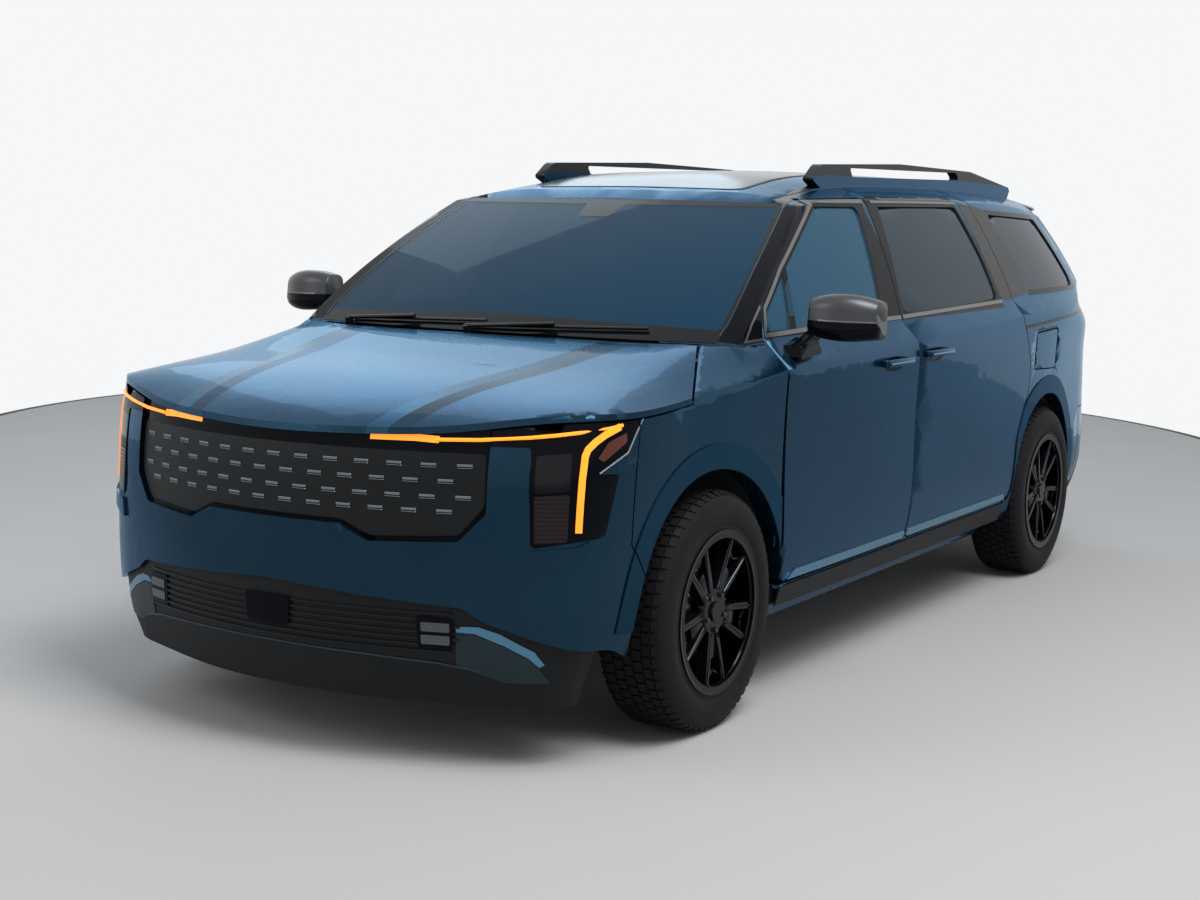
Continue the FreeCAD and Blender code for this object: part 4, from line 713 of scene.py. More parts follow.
class MINIVAN_OT_stage(bpy.types.Operator):
    """Pale floor, soft lamps, white surroundings and the camera"""
    bl_idname = "minivan.stage"
    bl_label = "Stage"

    def execute(self, context):
        scene = context.scene
        scene.view_settings.view_transform = "Standard"
        view = scene.minivan_camera
        turn = Matrix.Rotation(view.heading, 4, "Z")
        ground = Matrix.Translation((view.place[0], view.place[1], 0)) @ turn
        for name, finish, radius, drop in (
                ("floor", "floor_pale", 4.33, 0.0), ("skirting", "floor_line", 4.41, 0.004)):
            bm = bmesh.new()
            bmesh.ops.create_circle(bm, cap_ends=True, radius=radius, segments=128,
                                    matrix=Matrix.Translation((FLOOR_END, 0, -drop - 0.0002)))
            bmesh.ops.create_grid(bm, x_segments=1, y_segments=1, size=FLOOR_REACH,
                                  matrix=Matrix.Translation((FLOOR_END - FLOOR_REACH, 0, -drop)))
            bmesh.ops.transform(bm, matrix=ground, verts=bm.verts)
            mesh = bpy.data.meshes.new(name)
            bm.to_mesh(mesh)
            bm.free()
            piece = bpy.data.objects.new(name, mesh)
            scene.collection.objects.link(piece)
            made = Finish(finish, (0.545, 0.53, 0.515) if name == "floor" else (0.03, 0.03, 0.03), 0.7)
            made.set("Roughness", made.span(made.noise(2.0), 0.6, 0.8))
            mesh.materials.append(FINISHES[finish])

        world = bpy.data.worlds.new("studio")
        scene.world = world
        world.use_nodes = True
        tree = world.node_tree
        tree.nodes.clear()
        path = tree.nodes.new("ShaderNodeLightPath")
        seen = tree.nodes.new("ShaderNodeMath")
        seen.operation = "ADD"
        seen.use_clamp = True
        also = tree.nodes.new("ShaderNodeMath")
        also.operation = "ADD"
        tree.links.new(path.outputs["Is Glossy Ray"], also.inputs[0])
        tree.links.new(path.outputs["Is Transmission Ray"], also.inputs[1])
        tree.links.new(path.outputs["Is Camera Ray"], seen.inputs[0])
        tree.links.new(also.outputs[0], seen.inputs[1])
        soft = tree.nodes.new("ShaderNodeBackground")
        soft.inputs["Color"].default_value = (0.86, 0.92, 1.0, 1)
        soft.inputs["Strength"].default_value = 0.34
        bright = tree.nodes.new("ShaderNodeBackground")
        bright.inputs["Color"].default_value = (0.92, 0.93, 0.94, 1)
        bright.inputs["Strength"].default_value = 1.0
        mixed = tree.nodes.new("ShaderNodeMixShader")
        out = tree.nodes.new("ShaderNodeOutputWorld")
        tree.links.new(seen.outputs[0], mixed.inputs[0])
        tree.links.new(soft.outputs[0], mixed.inputs[1])
        tree.links.new(bright.outputs[0], mixed.inputs[2])
        tree.links.new(mixed.outputs[0], out.inputs[0])

        for name, place, aim, size, power in (
                ("key", (3.0, 5.5, 7.5), (0.0, 0.0, 0.8), 4.0, 330),
                ("fill", (7.5, -5.0, 5.0), (0.5, 0.0, 0.8), 5.0, 150),
                ("top", (2.4, 3.4, 8.0), (0.8, 0.4, 0.6), 3.6, 300),
                ("sky", (-4.8, -5.0, 5.6), (1.6, 0.2, 1.0), 5.0, 80)):
            lamp = bpy.data.lights.new(name, "AREA")
            lamp.size = size
            lamp.energy = power
            lamp.color = (0.66, 0.86, 1.0) if name == "sky" else (0.94, 0.97, 1.0)
            lamp_object = bpy.data.objects.new(name, lamp)
            lamp_object.location = place
            lamp_object.rotation_euler = (Vector(aim) - Vector(place)).to_track_quat("-Z", "Y").to_euler()
            scene.collection.objects.link(lamp_object)

        forward = Vector((
            math.cos(view.dip) * math.cos(view.heading),
            math.cos(view.dip) * math.sin(view.heading), -math.sin(view.dip)))
        level_right = forward.cross(UP).normalized()
        level_up = level_right.cross(forward)
        right = math.cos(view.roll) * level_right + math.sin(view.roll) * level_up
        upward = math.cos(view.roll) * level_up - math.sin(view.roll) * level_right
        data = bpy.data.cameras.new("view")
        data.lens = view.lens
        data.sensor_width = 36
        data.sensor_fit = "HORIZONTAL"
        data.clip_end = 200
        camera = bpy.data.objects.new("view", data)
        turn = Matrix((right, upward, -forward)).transposed().to_4x4()
        camera.matrix_world = Matrix.Translation(view.place) @ turn
        scene.collection.objects.link(camera)
        scene.camera = camera
        return {"FINISHED"}


class MINIVAN_OT_skins(bpy.types.Operator):
    """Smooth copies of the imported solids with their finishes"""
    bl_idname = "minivan.skins"
    bl_label = "Body and running gear"

    def execute(self, context):
        for node in frame["nodes"]:
            slot = SLOT_OF[node]
            if slot == "tyre":
                continue
            usual = "rim_black" if node.startswith("rim_") else "teal_paint"
            piece = skin(node, SKIN_FINISH.get(node, usual))
            if slot == "seat":
                softened(piece, 0.022, 3, 30.0)
        return {"FINISHED"}


class MINIVAN_OT_grille(bpy.types.Operator):
    """Grille field with its four rows of dashes"""
    bl_idname = "minivan.grille"
    bl_label = "Grille"

    def execute(self, context):
        sizes = context.scene.minivan_sizes
        field = [(-640, 903), (640, 903), (645, 760), (580, 676), (330, 662), (240, 702), (-240, 702),
                 (-330, 662), (-580, 676), (-645, 760)]
        patch("grille_field", ["grille"], field, "front", "grille_mesh", "gloss_black", rounding=14,
              depth=0.0006)
        tree = skin_tree(("grille",))
        bm = bmesh.new()
        for row, height in enumerate((870, 827, 783, 743)):
            for index in range(-7, 8):
                centre = (index + row % 2 / 2) * sizes.dash_pitch / MM
                if abs(centre) > 632 or (row == 3 and abs(centre) > 560):
                    continue
                place, normal, _, _ = tree.ray_cast(Vector((3, centre * MM, height * MM)), -AHEAD)
                if place is None:
                    continue
                turn = Matrix.Rotation(-math.atan2(normal.y, normal.x) * -1, 3, "Z")
                for drop, tall in ((0, sizes.dash_height / MM), (-7.5, 2.2)):
                    spot = place / MM + Vector((0, 0, drop))
                    block(bm, spot, (6, sizes.dash_length / MM, tall), turn, 1.0, 1)
        finished("grille_dashes", bm, "dash_metal", "body")
        return {"FINISHED"}


class MINIVAN_OT_lamps(bpy.types.Operator):
    """Running lights, lamp inserts and reflectors of both headlamps"""
    bl_idname = "minivan.lamps"
    bl_label = "Headlamps"

    def execute(self, context):
        front = ["grille", "headlamps", "front_bumper"]
        lamp = ["headlamps", "front_bumper", "front_fender_left"]
        patch("running_inner", front, [(315, 939), (445, 941), (512, 938)], "front", "amber_light", "lamp",
              width=19, depth=0.003, flip=True)
        patch("lamp_back", ["headlamps"], [
            (2229, 906, 852), (2184, 922, 879), (2129, 934, 904), (2092, 940, 960), (2047, 940, 1024),
            (1990, 945, 1030), (1990, 950, 850), (2100, 940, 845)], "corner", "teal_paint", "paint",
              depth=0.0016, flip=True)
        both("running_line", self.line, "amber_light")
        patch("running_post", lamp, [
            (2165, 924, 981), (2184, 919, 974), (2215, 907, 961), (2242, 893, 943), (2262, 881, 923),
            (2270, 877, 905), (2280, 875, 840), (2286, 874, 772), (2291, 873, 693)], "corner",
              "amber_light", "lamp", width=19, depth=0.004, flip=True)
        patch("lamp_lower", ["headlamps"], [
            (2366, 770, 792), (2374, 775, 662), (2312, 850, 668), (2306, 852, 800)], "corner",
              "lamp_brown", "lamp", rounding=8, depth=0.0008, flip=True)
        patch("lamp_upper", ["headlamps"], [
            (2352, 772, 905), (2364, 772, 800), (2304, 850, 808), (2296, 852, 912)], "corner",
              "lamp_inner", "lamp", rounding=8, depth=0.0008, flip=True)
        patch("lamp_marker", ["headlamps"], [
            (2140, 932, 962), (2139, 933, 936), (2222, 908, 886), (2238, 900, 897), (2205, 913, 940)],
              "corner", "amber_lens", "lamp", rounding=4, depth=0.0012, flip=True)
        patch("lamp_edge", lamp, [
            (2236, 904, 855), (2188, 921, 881), (2133, 933, 906), (2096, 939, 962), (2052, 940, 1012)],
              "corner", "bright_trim", "lamp", width=4.5, depth=0.002, flip=True)
        patch("lamp_frame", ["headlamps"], [
            (758, 925), (768, 785), (773, 655), (783, 648), (840, 655)], "front", "gloss_black", "lamp",
              width=9, depth=0.003, flip=True)
        return {"FINISHED"}


    def line(self, bm):
        rod(bm, [(2458, 508, 939), (2414, 625, 943), (2353, 749, 953), (2318, 812, 961), (2276, 860, 968),
                 (2215, 902, 977), (2157, 928, 984)], 5.2, 8)


class MINIVAN_OT_bumper(bpy.types.Operator):
    """Lower intake, fog lamps, radar cover, strips and the lamp ledge"""
    bl_idname = "minivan.bumper"
    bl_label = "Front bumper"

    def execute(self, context):
        low = ["lower_fascia", "front_bumper"]
        for index, height in enumerate((346, 364, 382, 400, 418, 436, 454)):
            half = 600 - abs(index - 3) * 12
            patch(f"intake_bar_{index}", low, [(-half, height), (half, height)], "front", "satin_black",
                  "black_plastic", width=6, depth=0.006)
        patch("radar_cover", low, [(-90, 462), (76, 462), (70, 376), (-84, 376)], "front", "gloss_black",
              "gloss_black", rounding=12, depth=0.009)
        patch("intake_side", low, [(470, 446), (572, 440), (566, 352), (474, 352)], "front", "gloss_black",
              "gloss_black", rounding=6, depth=0.007, flip=True)
        for index, height in enumerate((416, 380)):
            patch(f"fog_lamp_{index}", low, [
                (483, height + 13), (561, height + 13), (561, height - 13), (483, height - 13)], "front",
                "fog_lens", "lamp", rounding=4, depth=0.010, flip=True)
        patch("bumper_strip", low, [
            (575, 420), (636, 422), (690, 404), (772, 355), (793, 318), (781, 310), (757, 337), (700, 371),
            (626, 402), (579, 404)], "front", "sky_trim", "steel", depth=0.004, flip=True)
        # The bumper cheek is body-coloured; its dark satin grey is painted shade.
        patch("bumper_cheek", low, [
            (578, 402), (626, 399), (700, 368), (757, 334), (779, 308), (800, 262), (690, 262), (572, 308)],
              "front", "cheek_painted_shade", "black_plastic", rounding=4, depth=0.003, flip=True)
        patch("chin_line", low, [(-632, 293), (-522, 311), (-300, 321), (0, 325), (300, 321), (522, 311),
                                 (632, 293)], "front", "dark_metal", "steel", width=5, depth=0.003)
        patch("lamp_ledge", ["front_bumper"], [
            (2374, 764, 642), (2300, 868, 652), (2262, 899, 670), (2275, 882, 636), (2300, 845, 608),
            (2372, 735, 585)], "corner", "teal_paint", "paint", rounding=6, depth=0.009, bevel=0.008,
              flip=True)
        return {"FINISHED"}


class MINIVAN_OT_windows(bpy.types.Operator):
    """Black pillars, window mouldings, windshield border and wipers"""
    bl_idname = "minivan.windows"
    bl_label = "Pillars and mouldings"

    def execute(self, context):
        side = "body_side_left"
        door = "front_door_left"
        slide = "sliding_door_left"
        doors = {"body": "front_door_left", "flip": "front_door_right"}
        patch("pillar_front", [side], [
            (1356, 796, 1170), (1291, 790, 1218), (1171, 770, 1299), (1041, 752, 1386), (870, 716, 1483),
            (668, 668, 1592), (590, 712, 1612), (775, 790, 1497), (976, 832, 1390), (1080, 846, 1330),
            (1166, 856, 1275), (1255, 880, 1214), (1340, 900, 1158)], "corner", "gloss_black",
              "gloss_black", depth=0.0010, flip=True)
        patch("pillar_corner", [side, "front_fender_left"], [
            (1332, 1160), (1205, 1164), (1160, 1290), (1255, 1226)], "side", "gloss_black", "gloss_black",
              depth=0.0016, flip=True)
        patch("frame_front", [door], [
            (1216, 1174), (1152, 1292), (960, 1416), (760, 1521), (540, 1632), (100, 1632), (335, 1190)],
              "side", "gloss_black", "gloss_black", rounding=8, ring=60, depth=0.0008, **doors)
        patch("pillar_middle", [door], [
            (135, 1620), (205, 1600), (345, 1200), (60, 1200)], "side", "gloss_black", "gloss_black",
              depth=0.0009, **doors)
        patch("pillar_slide", [slide], [
            (80, 1634), (-70, 1634), (108, 1200), (240, 1200)], "side", "gloss_black", "gloss_black",
              depth=0.0009, flip=True)
        patch("frame_slide", [slide], [
            (178, 1192), (20, 1640), (-845, 1640), (-910, 1400), (-925, 1200)], "side", "gloss_black",
              "gloss_black", rounding=14, ring=50, depth=0.0008, flip=True)
        patch("pillar_rear", [side, slide], [
            (-886, 1625), (-1172, 1602), (-1324, 1250), (-1010, 1228), (-925, 1236)], "side",
              "garnish", "gloss_black", rounding=10, depth=0.0012, flip=True)
        patch("frame_quarter", [side], [
            (-1160, 1600), (-1905, 1580), (-2112, 1242), (-1300, 1238)], "side", "gloss_black",
              "gloss_black", rounding=30, ring=24, depth=0.0010, flip=True)
        trims = (
            ("moulding_pillar", [door], [(1196, 1190), (1156, 1268), (970, 1391), (768, 1497), (533, 1616),
                                         (110, 1619)], 13, doors),
            ("moulding_belt", [door], [(1206, 1183), (900, 1193), (600, 1198), (320, 1201), (105, 1203)],
             14, doors),
            ("moulding_slide", [slide], [(150, 1203), (-300, 1212), (-930, 1224)], 14, {"flip": True}),
            ("moulding_roof", [slide], [(40, 1619), (-400, 1622), (-845, 1622)], 10, {"flip": True}),
            ("moulding_corner", [side, "front_fender_left"], [
                (1178, 1276), (1258, 1221), (1318, 1168), (1214, 1172)], 8, {"flip": True}))
        for name, nodes, path, width, rider in trims:
            patch(name, nodes, path, "side", "satin_trim", "steel", width=width, depth=0.0032,
                  bevel=0.0012, **rider)
        patch("windshield_border", ["windshield"], [
            (808, 1160), (800, 1218), (784, 1299), (765, 1386), (727, 1483), (667, 1609), (-667, 1609),
            (-727, 1483), (-765, 1386), (-784, 1299), (-800, 1218), (-808, 1160)], "front", "frit",
              "glass", ring=16, depth=0.0006)
        patch("windshield_foot", ["windshield"], [(-790, 1150), (790, 1150), (786, 1200), (0, 1222),
                                                  (-786, 1200)], "front", "frit", "glass", depth=0.0005)
        patch("windshield_sensor", ["windshield"], [(-90, 1606), (90, 1606), (66, 1548), (-66, 1548)],
              "front", "frit", "glass", rounding=12, depth=0.0008)
        patch("glass_edge", [side, "windshield"], [
            (1345, 800, 1183), (1291, 797, 1218), (1171, 779, 1299), (1041, 761, 1386), (870, 725, 1483),
            (664, 676, 1592)], "corner", "dark_metal", "steel", width=4, depth=0.0022, flip=True)
        single("wipers", self.wipers, "satin_black")
        return {"FINISHED"}

    def wipers(self, bm):
        tree = skin_tree(("windshield", "cowl_and_wipers"))
        for pivot, tip in ((-640, -40), (-90, 560)):
            spots = []
            for part in (0.0, 0.25, 0.5, 0.75, 1.0):
                y = pivot + (tip - pivot) * part
                place = tree.ray_cast(Vector((3, y * MM, (1176 + 16 * part) * MM)), -AHEAD)[0]
                spots.append(place / MM)
            rod(bm, [spot + Vector((9, 0, 6)) for spot in spots], 5.5, 8)
            rod(bm, [spots[0] + Vector((32, 0, 4)), spots[1] + Vector((30, 0, 10)),
                     spots[2] + Vector((16, 0, 16))], 7.0, 8)
            disc(bm, spots[0] + Vector((32, 0, -4)), (0.5, 0, 0.866), 16, 26, 16, 11)


class MINIVAN_OT_sides(bpy.types.Operator):
    """Arch flares, rocker strips, door handles and the sliding rail"""
    bl_idname = "minivan.sides"
    bl_label = "Sides"

    def execute(self, context):
        arch = {"finish": "teal_satin", "slot": "paint", "width": 78, "depth": 0.005, "bevel": 0.004,
                "flip": True}
        patch("flare_front", ["front_fender_left", "front_bumper"],
              circle_points(1643, 370, 476, 2, 182), "side", **arch)
        patch("flare_rear", ["body_side_left", "rear_bumper"], circle_points(-1447, 370, 476, -4, 184),
              "side", **arch)
        patch("rocker_front", ["front_door_left"], [(1150, 390), (1098, 419), (178, 419), (166, 390)],
              "side", "sky_trim", "steel", rounding=4, depth=0.006, bevel=0.002,
              body="front_door_left", flip="front_door_right")
        patch("rocker_slide", ["sliding_door_left"], [(150, 392), (140, 421), (-920, 421), (-935, 394)],
              "side", "sky_trim", "steel", rounding=4, depth=0.006, bevel=0.002, flip=True)
        patch("sill_low", ["body_side_left"], [(1292, 372), (1292, 296), (-940, 296), (-940, 372)], "side",
              "grained_black", "black_plastic", depth=0.0008, flip=True)
        patch("rail_slot", ["body_side_left"], [(-1046, 1112), (-1500, 1127), (-2090, 1146)], "side",
              "gloss_black", "black_plastic", width=15, depth=0.0008, flip=True)
        for name, node, x, z, riders in (
                ("front", "front_door_left", 366, 1052, ("front_door_left", "front_door_right")),
                ("slide", "sliding_door_left", -32, 1064, ("body", "body"))):
            self.handle(name, node, x, z, riders)
        return {"FINISHED"}

    def handle(self, name, node, x, z, riders):
        place = skin_tree((node,)).ray_cast(Vector((x * MM, 3, z * MM)), -LEFT)[0]
        y = place.y / MM
        pocket = [(x + 95 * math.cos(turn), z - 4 + 27 * math.sin(turn))
                  for turn in [index * math.tau / 24 for index in range(24)]]
        flip = riders[1] if riders[1] != "body" else True
        patch(f"pocket_{name}", [node], pocket, "side", "gloss_black", "gloss_black", depth=0.0008,
              body=riders[0], flip=flip)

        def grip(bm):
            block(bm, (x, y + 27, z + 3), (236, 15, 27), None, 7, 3)
            block(bm, (x + 104, y + 11, z + 3), (34, 30, 25), None, 6, 3)
            block(bm, (x - 104, y + 11, z + 3), (34, 30, 25), None, 6, 3)

        def line(bm):
            block(bm, (x, y + 35, z + 2), (216, 2, 6), None, 1, 1)

        both(f"handle_{name}", grip, "teal_paint", riders)
        both(f"handle_line_{name}", line, "sky_trim", riders)


class MINIVAN_OT_mirrors(bpy.types.Operator):
    """Gloss lower shells, lines and glasses of the door mirrors"""
    bl_idname = "minivan.mirrors"
    bl_label = "Mirrors"

    def execute(self, context):
        for hand, sign in HANDS:
            node = f"mirror_{hand}"
            bm = bmesh.new()
            bm.from_mesh(frame["nodes"][node].data)
            bmesh.ops.remove_doubles(bm, verts=bm.verts, dist=2e-6)
            bmesh.ops.bisect_plane(bm, geom=bm.verts[:] + bm.edges[:] + bm.faces[:], dist=1e-6,
                                   plane_co=(0, 0, 1.236), plane_no=(0, 0, 1), clear_outer=True)
            bm.normal_update()
            for vertex, normal in [(item, item.normal.copy()) for item in bm.verts]:
                vertex.co += normal * 0.0006
            finished(f"mirror_lower_{hand}", bm, "gloss_black", body_of(node))
        rider = {"body": body_of("mirror_left"), "flip": body_of("mirror_right")}
        patch("mirror_glass", ["mirror_left"], [(1022, 1292), (1196, 1290), (1198, 1196), (1022, 1196)],
              "back", "mirror_glass", "glass", rounding=24, depth=0.0010, steep=0.3, **rider)
        patch("mirror_line", ["mirror_left"], [
            (1100, 1010, 1238), (1128, 1080, 1237), (1090, 1180, 1236), (1020, 1212, 1235)], "corner",
              "satin_trim", "steel", width=5, depth=0.0014, **rider)
        return {"FINISHED"}


class MINIVAN_OT_roof(bpy.types.Operator):
    """Sunroof, ditch strips and rail lines"""
    bl_idname = "minivan.roof"
    bl_label = "Roof"

    def execute(self, context):
        patch("sunroof", ["roof_panel"], [(520, 430), (-330, 430), (-330, -430), (520, -430)], "top",
              "roof_glass", "glass", rounding=45, depth=0.0016)
        patch("sunroof_seam", ["roof_panel"], [(534, 444), (-344, 444), (-344, -444), (534, -444)], "top",
              "satin_black", "black_plastic", rounding=55, ring=9, depth=0.0022)
        patch("rail_base", ["roof_rails"], [
            (300, 1640), (290, 1706), (170, 1716), (-110, 1716), (-1180, 1726), (-1920, 1706), (-1930, 1630)],
              "side", "teal_paint", "paint", depth=0.0012, flip=True)
        patch("rail_face", ["roof_rails"], [(330, 1700), (330, 1560), (120, 1560), (120, 1712)], "side",
              "teal_paint", "paint", depth=0.0016, flip=True)
        patch("ditch_strip", ["roof_panel", "body_side_left"], [
            (672, 662), (560, 640), (430, 614), (300, 592)], "top", "satin_cap", "mirror_cap", width=42,
              depth=0.0016, steep=0.3, flip=True)
        return {"FINISHED"}


class MINIVAN_OT_wheels(bpy.types.Operator):
    """Tyres with tread, wheel nuts, caps and calipers"""
    bl_idname = "minivan.wheels"
    bl_label = "Wheels"

    def execute(self, context):
        for end, x in (("front", 1643), ("rear", -1447)):
            for hand, sign in HANDS:
                centre = Vector((x, sign * 868, 370)) * MM
                rider = body_of(f"tyre_{end}_{hand}")
                bm = self.tyre()
                bmesh.ops.translate(bm, verts=bm.verts, vec=centre)
                tyre = finished(f"tread_tyre_{end}_{hand}", bm, "tyre_rubber", rider, 50.0)
                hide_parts(f"tyre_{end}_{hand}")
                for name, make, finish, slot in (
                        ("face", self.face, "rim_black", "gloss_black"),
                        ("accent", self.accent, "dark_metal", "steel"),
                        ("nuts", self.nuts, "dark_metal", "steel")):
                    bm = bmesh.new()
                    make(bm)
                    if sign < 0:
                        flip_side(bm)
                    bmesh.ops.translate(bm, verts=bm.verts, vec=centre)
                    finished(f"wheel_{name}_{end}_{hand}", bm, finish, rider)
                bm = bmesh.new()
                block(bm, (-118, 20, 40), (62, 66, 130), Matrix.Rotation(math.radians(18), 3, "Y"), 12, 3)
                if sign < 0:
                    flip_side(bm)
                bmesh.ops.translate(bm, verts=bm.verts, vec=centre)
                carrier = body_of(f"knuckle_{hand}") if end == "front" else "body"
                finished(f"caliper_{end}_{hand}", bm, "cast_metal", carrier)
        return {"FINISHED"}

    def tyre(self):
        bm = bmesh.new()
        half = [(242.5, 107), (252, 112), (264, 114.5), (267, 113), (272, 116), (300, 117.3), (318, 116.6),
                (322, 115.4), (330, 114.6), (345, 108), (355, 101), (361, 92), (363, 74)]
        profile = [(radius, -offset) for radius, offset in half]
        profile += [(363, 0)] + [(radius, offset) for radius, offset in half[::-1]]
        wheel_profile(bm, profile)
        lugs = bmesh.new()
        for offset, wide, shift in (
                (0, 27, 0.0), (33, 28, 0.5), (-33, 28, 0.5), (64, 24, 0.0), (-64, 24, 0.0)):
            block(lugs, (0, 0, 0), (30, wide, 8))
            fresh = lugs.verts[-8:]
            bmesh.ops.translate(lugs, verts=fresh, vec=Vector((0, offset, 365.4)) * MM)
            bmesh.ops.rotate(lugs, verts=fresh, cent=(0, 0, 0),
                             matrix=Matrix.Rotation(shift * math.tau / 62, 3, "Y"))
        for sign in (1, -1):
            tilt = Matrix.Rotation(math.radians(-25 * sign), 3, "X")
            block(lugs, (0, sign * 91, 360.5), (24, 22, 7), tilt)
        bmesh.ops.spin(lugs, geom=lugs.verts[:] + lugs.edges[:] + lugs.faces[:], cent=(0, 0, 0),
                       axis=(0, 1, 0), dvec=(0, 0, 0), angle=math.tau, steps=62, use_duplicate=True)
        mesh = bpy.data.meshes.new("lugs")
        lugs.to_mesh(mesh)
        lugs.free()
        bm.from_mesh(mesh)
        bpy.data.meshes.remove(mesh)
        return bm

    def face(self, bm):
        wheel_profile(bm, [(238, 100), (244, 112), (251, 115.5), (253, 117.2), (246, 117.2), (240, 113.5),
                           (228, 106), (226, 101)], 96)
        disc(bm, (0, 97, 0), (0, 1, 0), 34, 14, 40, 30)
        disc(bm, (0, 92, 0), (0, 1, 0), 72, 8, 40, 66)
        for index in range(5):
            turn = Matrix.Rotation(math.radians(index * 72 + 90), 3, "Y")
            block(bm, turn @ Vector((104, 86, 0)), (86, 14, 44), turn, 5, 2)
            for sign in (1, -1):
                lean = turn @ Matrix.Rotation(math.radians(sign * 62), 3, "Y")
                block(bm, turn @ Vector((196, 90, sign * -26)), (52, 10, 9), lean, 2, 1)

    def accent(self, bm):
        for index in range(5):
            for sign in (1, -1):
                turn = Matrix.Rotation(math.radians(index * 72 + 90), 3, "Y")
                path = [turn @ Vector(spot) for spot in (
                    (76, 95.5, sign * 16), (150, 101.5, sign * 34), (226, 106.5, sign * 56))]
                rod(bm, path, 2.2, 6)

    def nuts(self, bm):
        for index in range(5):
            turn = math.radians(index * 72 + 54)
            disc(bm, (57 * math.cos(turn), 98, 57 * math.sin(turn)), (0, 1, 0), 9.5, 14, 6, 8.5)
        disc(bm, (60, 110, -218), (0.1, 1, 0), 4, 18, 8)


class MINIVAN_OT_rear(bpy.types.Operator):
    """Lamp bar, plate recess, lower cladding, rear wiper and reflectors"""
    bl_idname = "minivan.rear"
    bl_label = "Rear end"

    def execute(self, context):
        gate = body_of("tailgate")
        patch("lamp_bar", ["tailgate"], [(-742, 1010), (742, 1010), (742, 988), (-742, 988)], "back",
              "red_lens", "tail_lamp", depth=0.004, body=gate)
        patch("lamp_bar_frame", ["tailgate"], [(-742, 1032), (742, 1032), (742, 966), (-742, 966)], "back",
              "gloss_black", "gloss_black", ring=20, depth=0.003, body=gate)
        patch("plate_recess", ["tailgate"], [(-270, 900), (270, 900), (240, 745), (-240, 745)], "back",
              "grained_black", "black_plastic", rounding=20, depth=0.0012, body=gate)
        patch("plate_frame", ["tailgate"], [(-262, 892), (262, 892), (234, 752), (-234, 752)], "back",
              "satin_black", "black_plastic", rounding=16, ring=7, depth=0.004, body=gate)
        patch("gate_handle", ["tailgate"], [(-190, 936), (190, 936), (180, 914), (-180, 914)], "back",
              "dark_metal", "steel", rounding=8, depth=0.008, bevel=0.003, body=gate)
        patch("brake_lamp", ["tailgate"], [(-160, 1648), (160, 1648), (160, 1634), (-160, 1634)], "back",
              "red_lens", "tail_lamp", rounding=4, depth=0.002, body=gate)
        patch("rear_cladding", ["rear_bumper"], [(-900, 470), (900, 470), (900, 240), (-900, 240)], "back",
              "grained_black", "black_plastic", depth=0.0016)
        patch("rear_strip", ["rear_bumper"], [(-560, 420), (560, 420), (600, 404), (-600, 404)], "back",
              "sky_trim", "steel", depth=0.004)
        patch("rear_reflector", ["rear_bumper"], [(600, 532), (800, 540), (800, 518), (602, 512)], "back",
              "red_lens", "tail_lamp", rounding=4, depth=0.003, flip=True)
        patch("tail_signal", ["tail_lamps"], [(765, 1075), (900, 1085), (900, 1050), (765, 1045)], "back",
              "clear_tail", "tail_lamp", rounding=6, depth=0.0012, flip=True)
        single("rear_wiper", self.wiper, "satin_black", gate)
        return {"FINISHED"}

    def wiper(self, bm):
        tree = skin_tree(("tailgate_glass", "tailgate"))
        spots = []
        for y, z in ((0, 1262), (130, 1275), (260, 1290), (390, 1307)):
            spots.append(tree.ray_cast(Vector((-4, y * MM, z * MM)), AHEAD)[0] / MM)
        rod(bm, [spot + Vector((-8, 0, 3)) for spot in spots], 5, 8)
        rod(bm, [spots[0] + Vector((-18, 0, -12)), spots[2] + Vector((-16, 0, 0))], 7, 8)
        disc(bm, spots[0] + Vector((-12, 0, -14)), (-0.9, 0, 0.3), 20, 22, 20, 15)


class MINIVAN_OT_cabin(bpy.types.Operator):
    """Displays, wheel hub, console and inside mirror"""
    bl_idname = "minivan.cabin"
    bl_label = "Cabin"

    def execute(self, context):
        single("cabin_screens", self.screens, "screen_glass")
        single("cabin_console", self.console, "cabin_plastic")
        single("cabin_mirror", self.mirror, "cabin_plastic")
        single("cabin_hub", self.hub, "cabin_plastic", body_of("steering_wheel"))
        return {"FINISHED"}

    def screens(self, bm):
        place = skin_tree(("dashboard",)).ray_cast(Vector((0.2, 0, 1.0)), AHEAD)[0]
        if place is None:
            raise RuntimeError("no dashboard behind the displays")
        turn = Matrix.Rotation(math.radians(-8), 3, "Y")
        block(bm, (place.x / MM - 6, 120, 1030), (12, 620, 118), turn, 5, 2)

    def console(self, bm):
        block(bm, (480, 0, 440), (700, 210, 290), None, 26, 3)
        block(bm, (250, 0, 600), (330, 190, 60), None, 24, 3)

    def mirror(self, bm):
        block(bm, (560, 0, 1500), (26, 240, 66), Matrix.Rotation(math.radians(12), 3, "Y"), 12, 3)
        rod(bm, [(575, 0, 1520), (625, 0, 1580)], 8, 10)

    def hub(self, bm):
        joint = JOINT_OF["steering_wheel_turn"]
        centre = Vector(joint["pos_m"]) / MM
        axis = Vector(joint["axis"]).normalized()
        toward = -axis if axis.x > 0 else axis
        disc(bm, centre + toward * 12, toward, 62, 24, 40, 52)


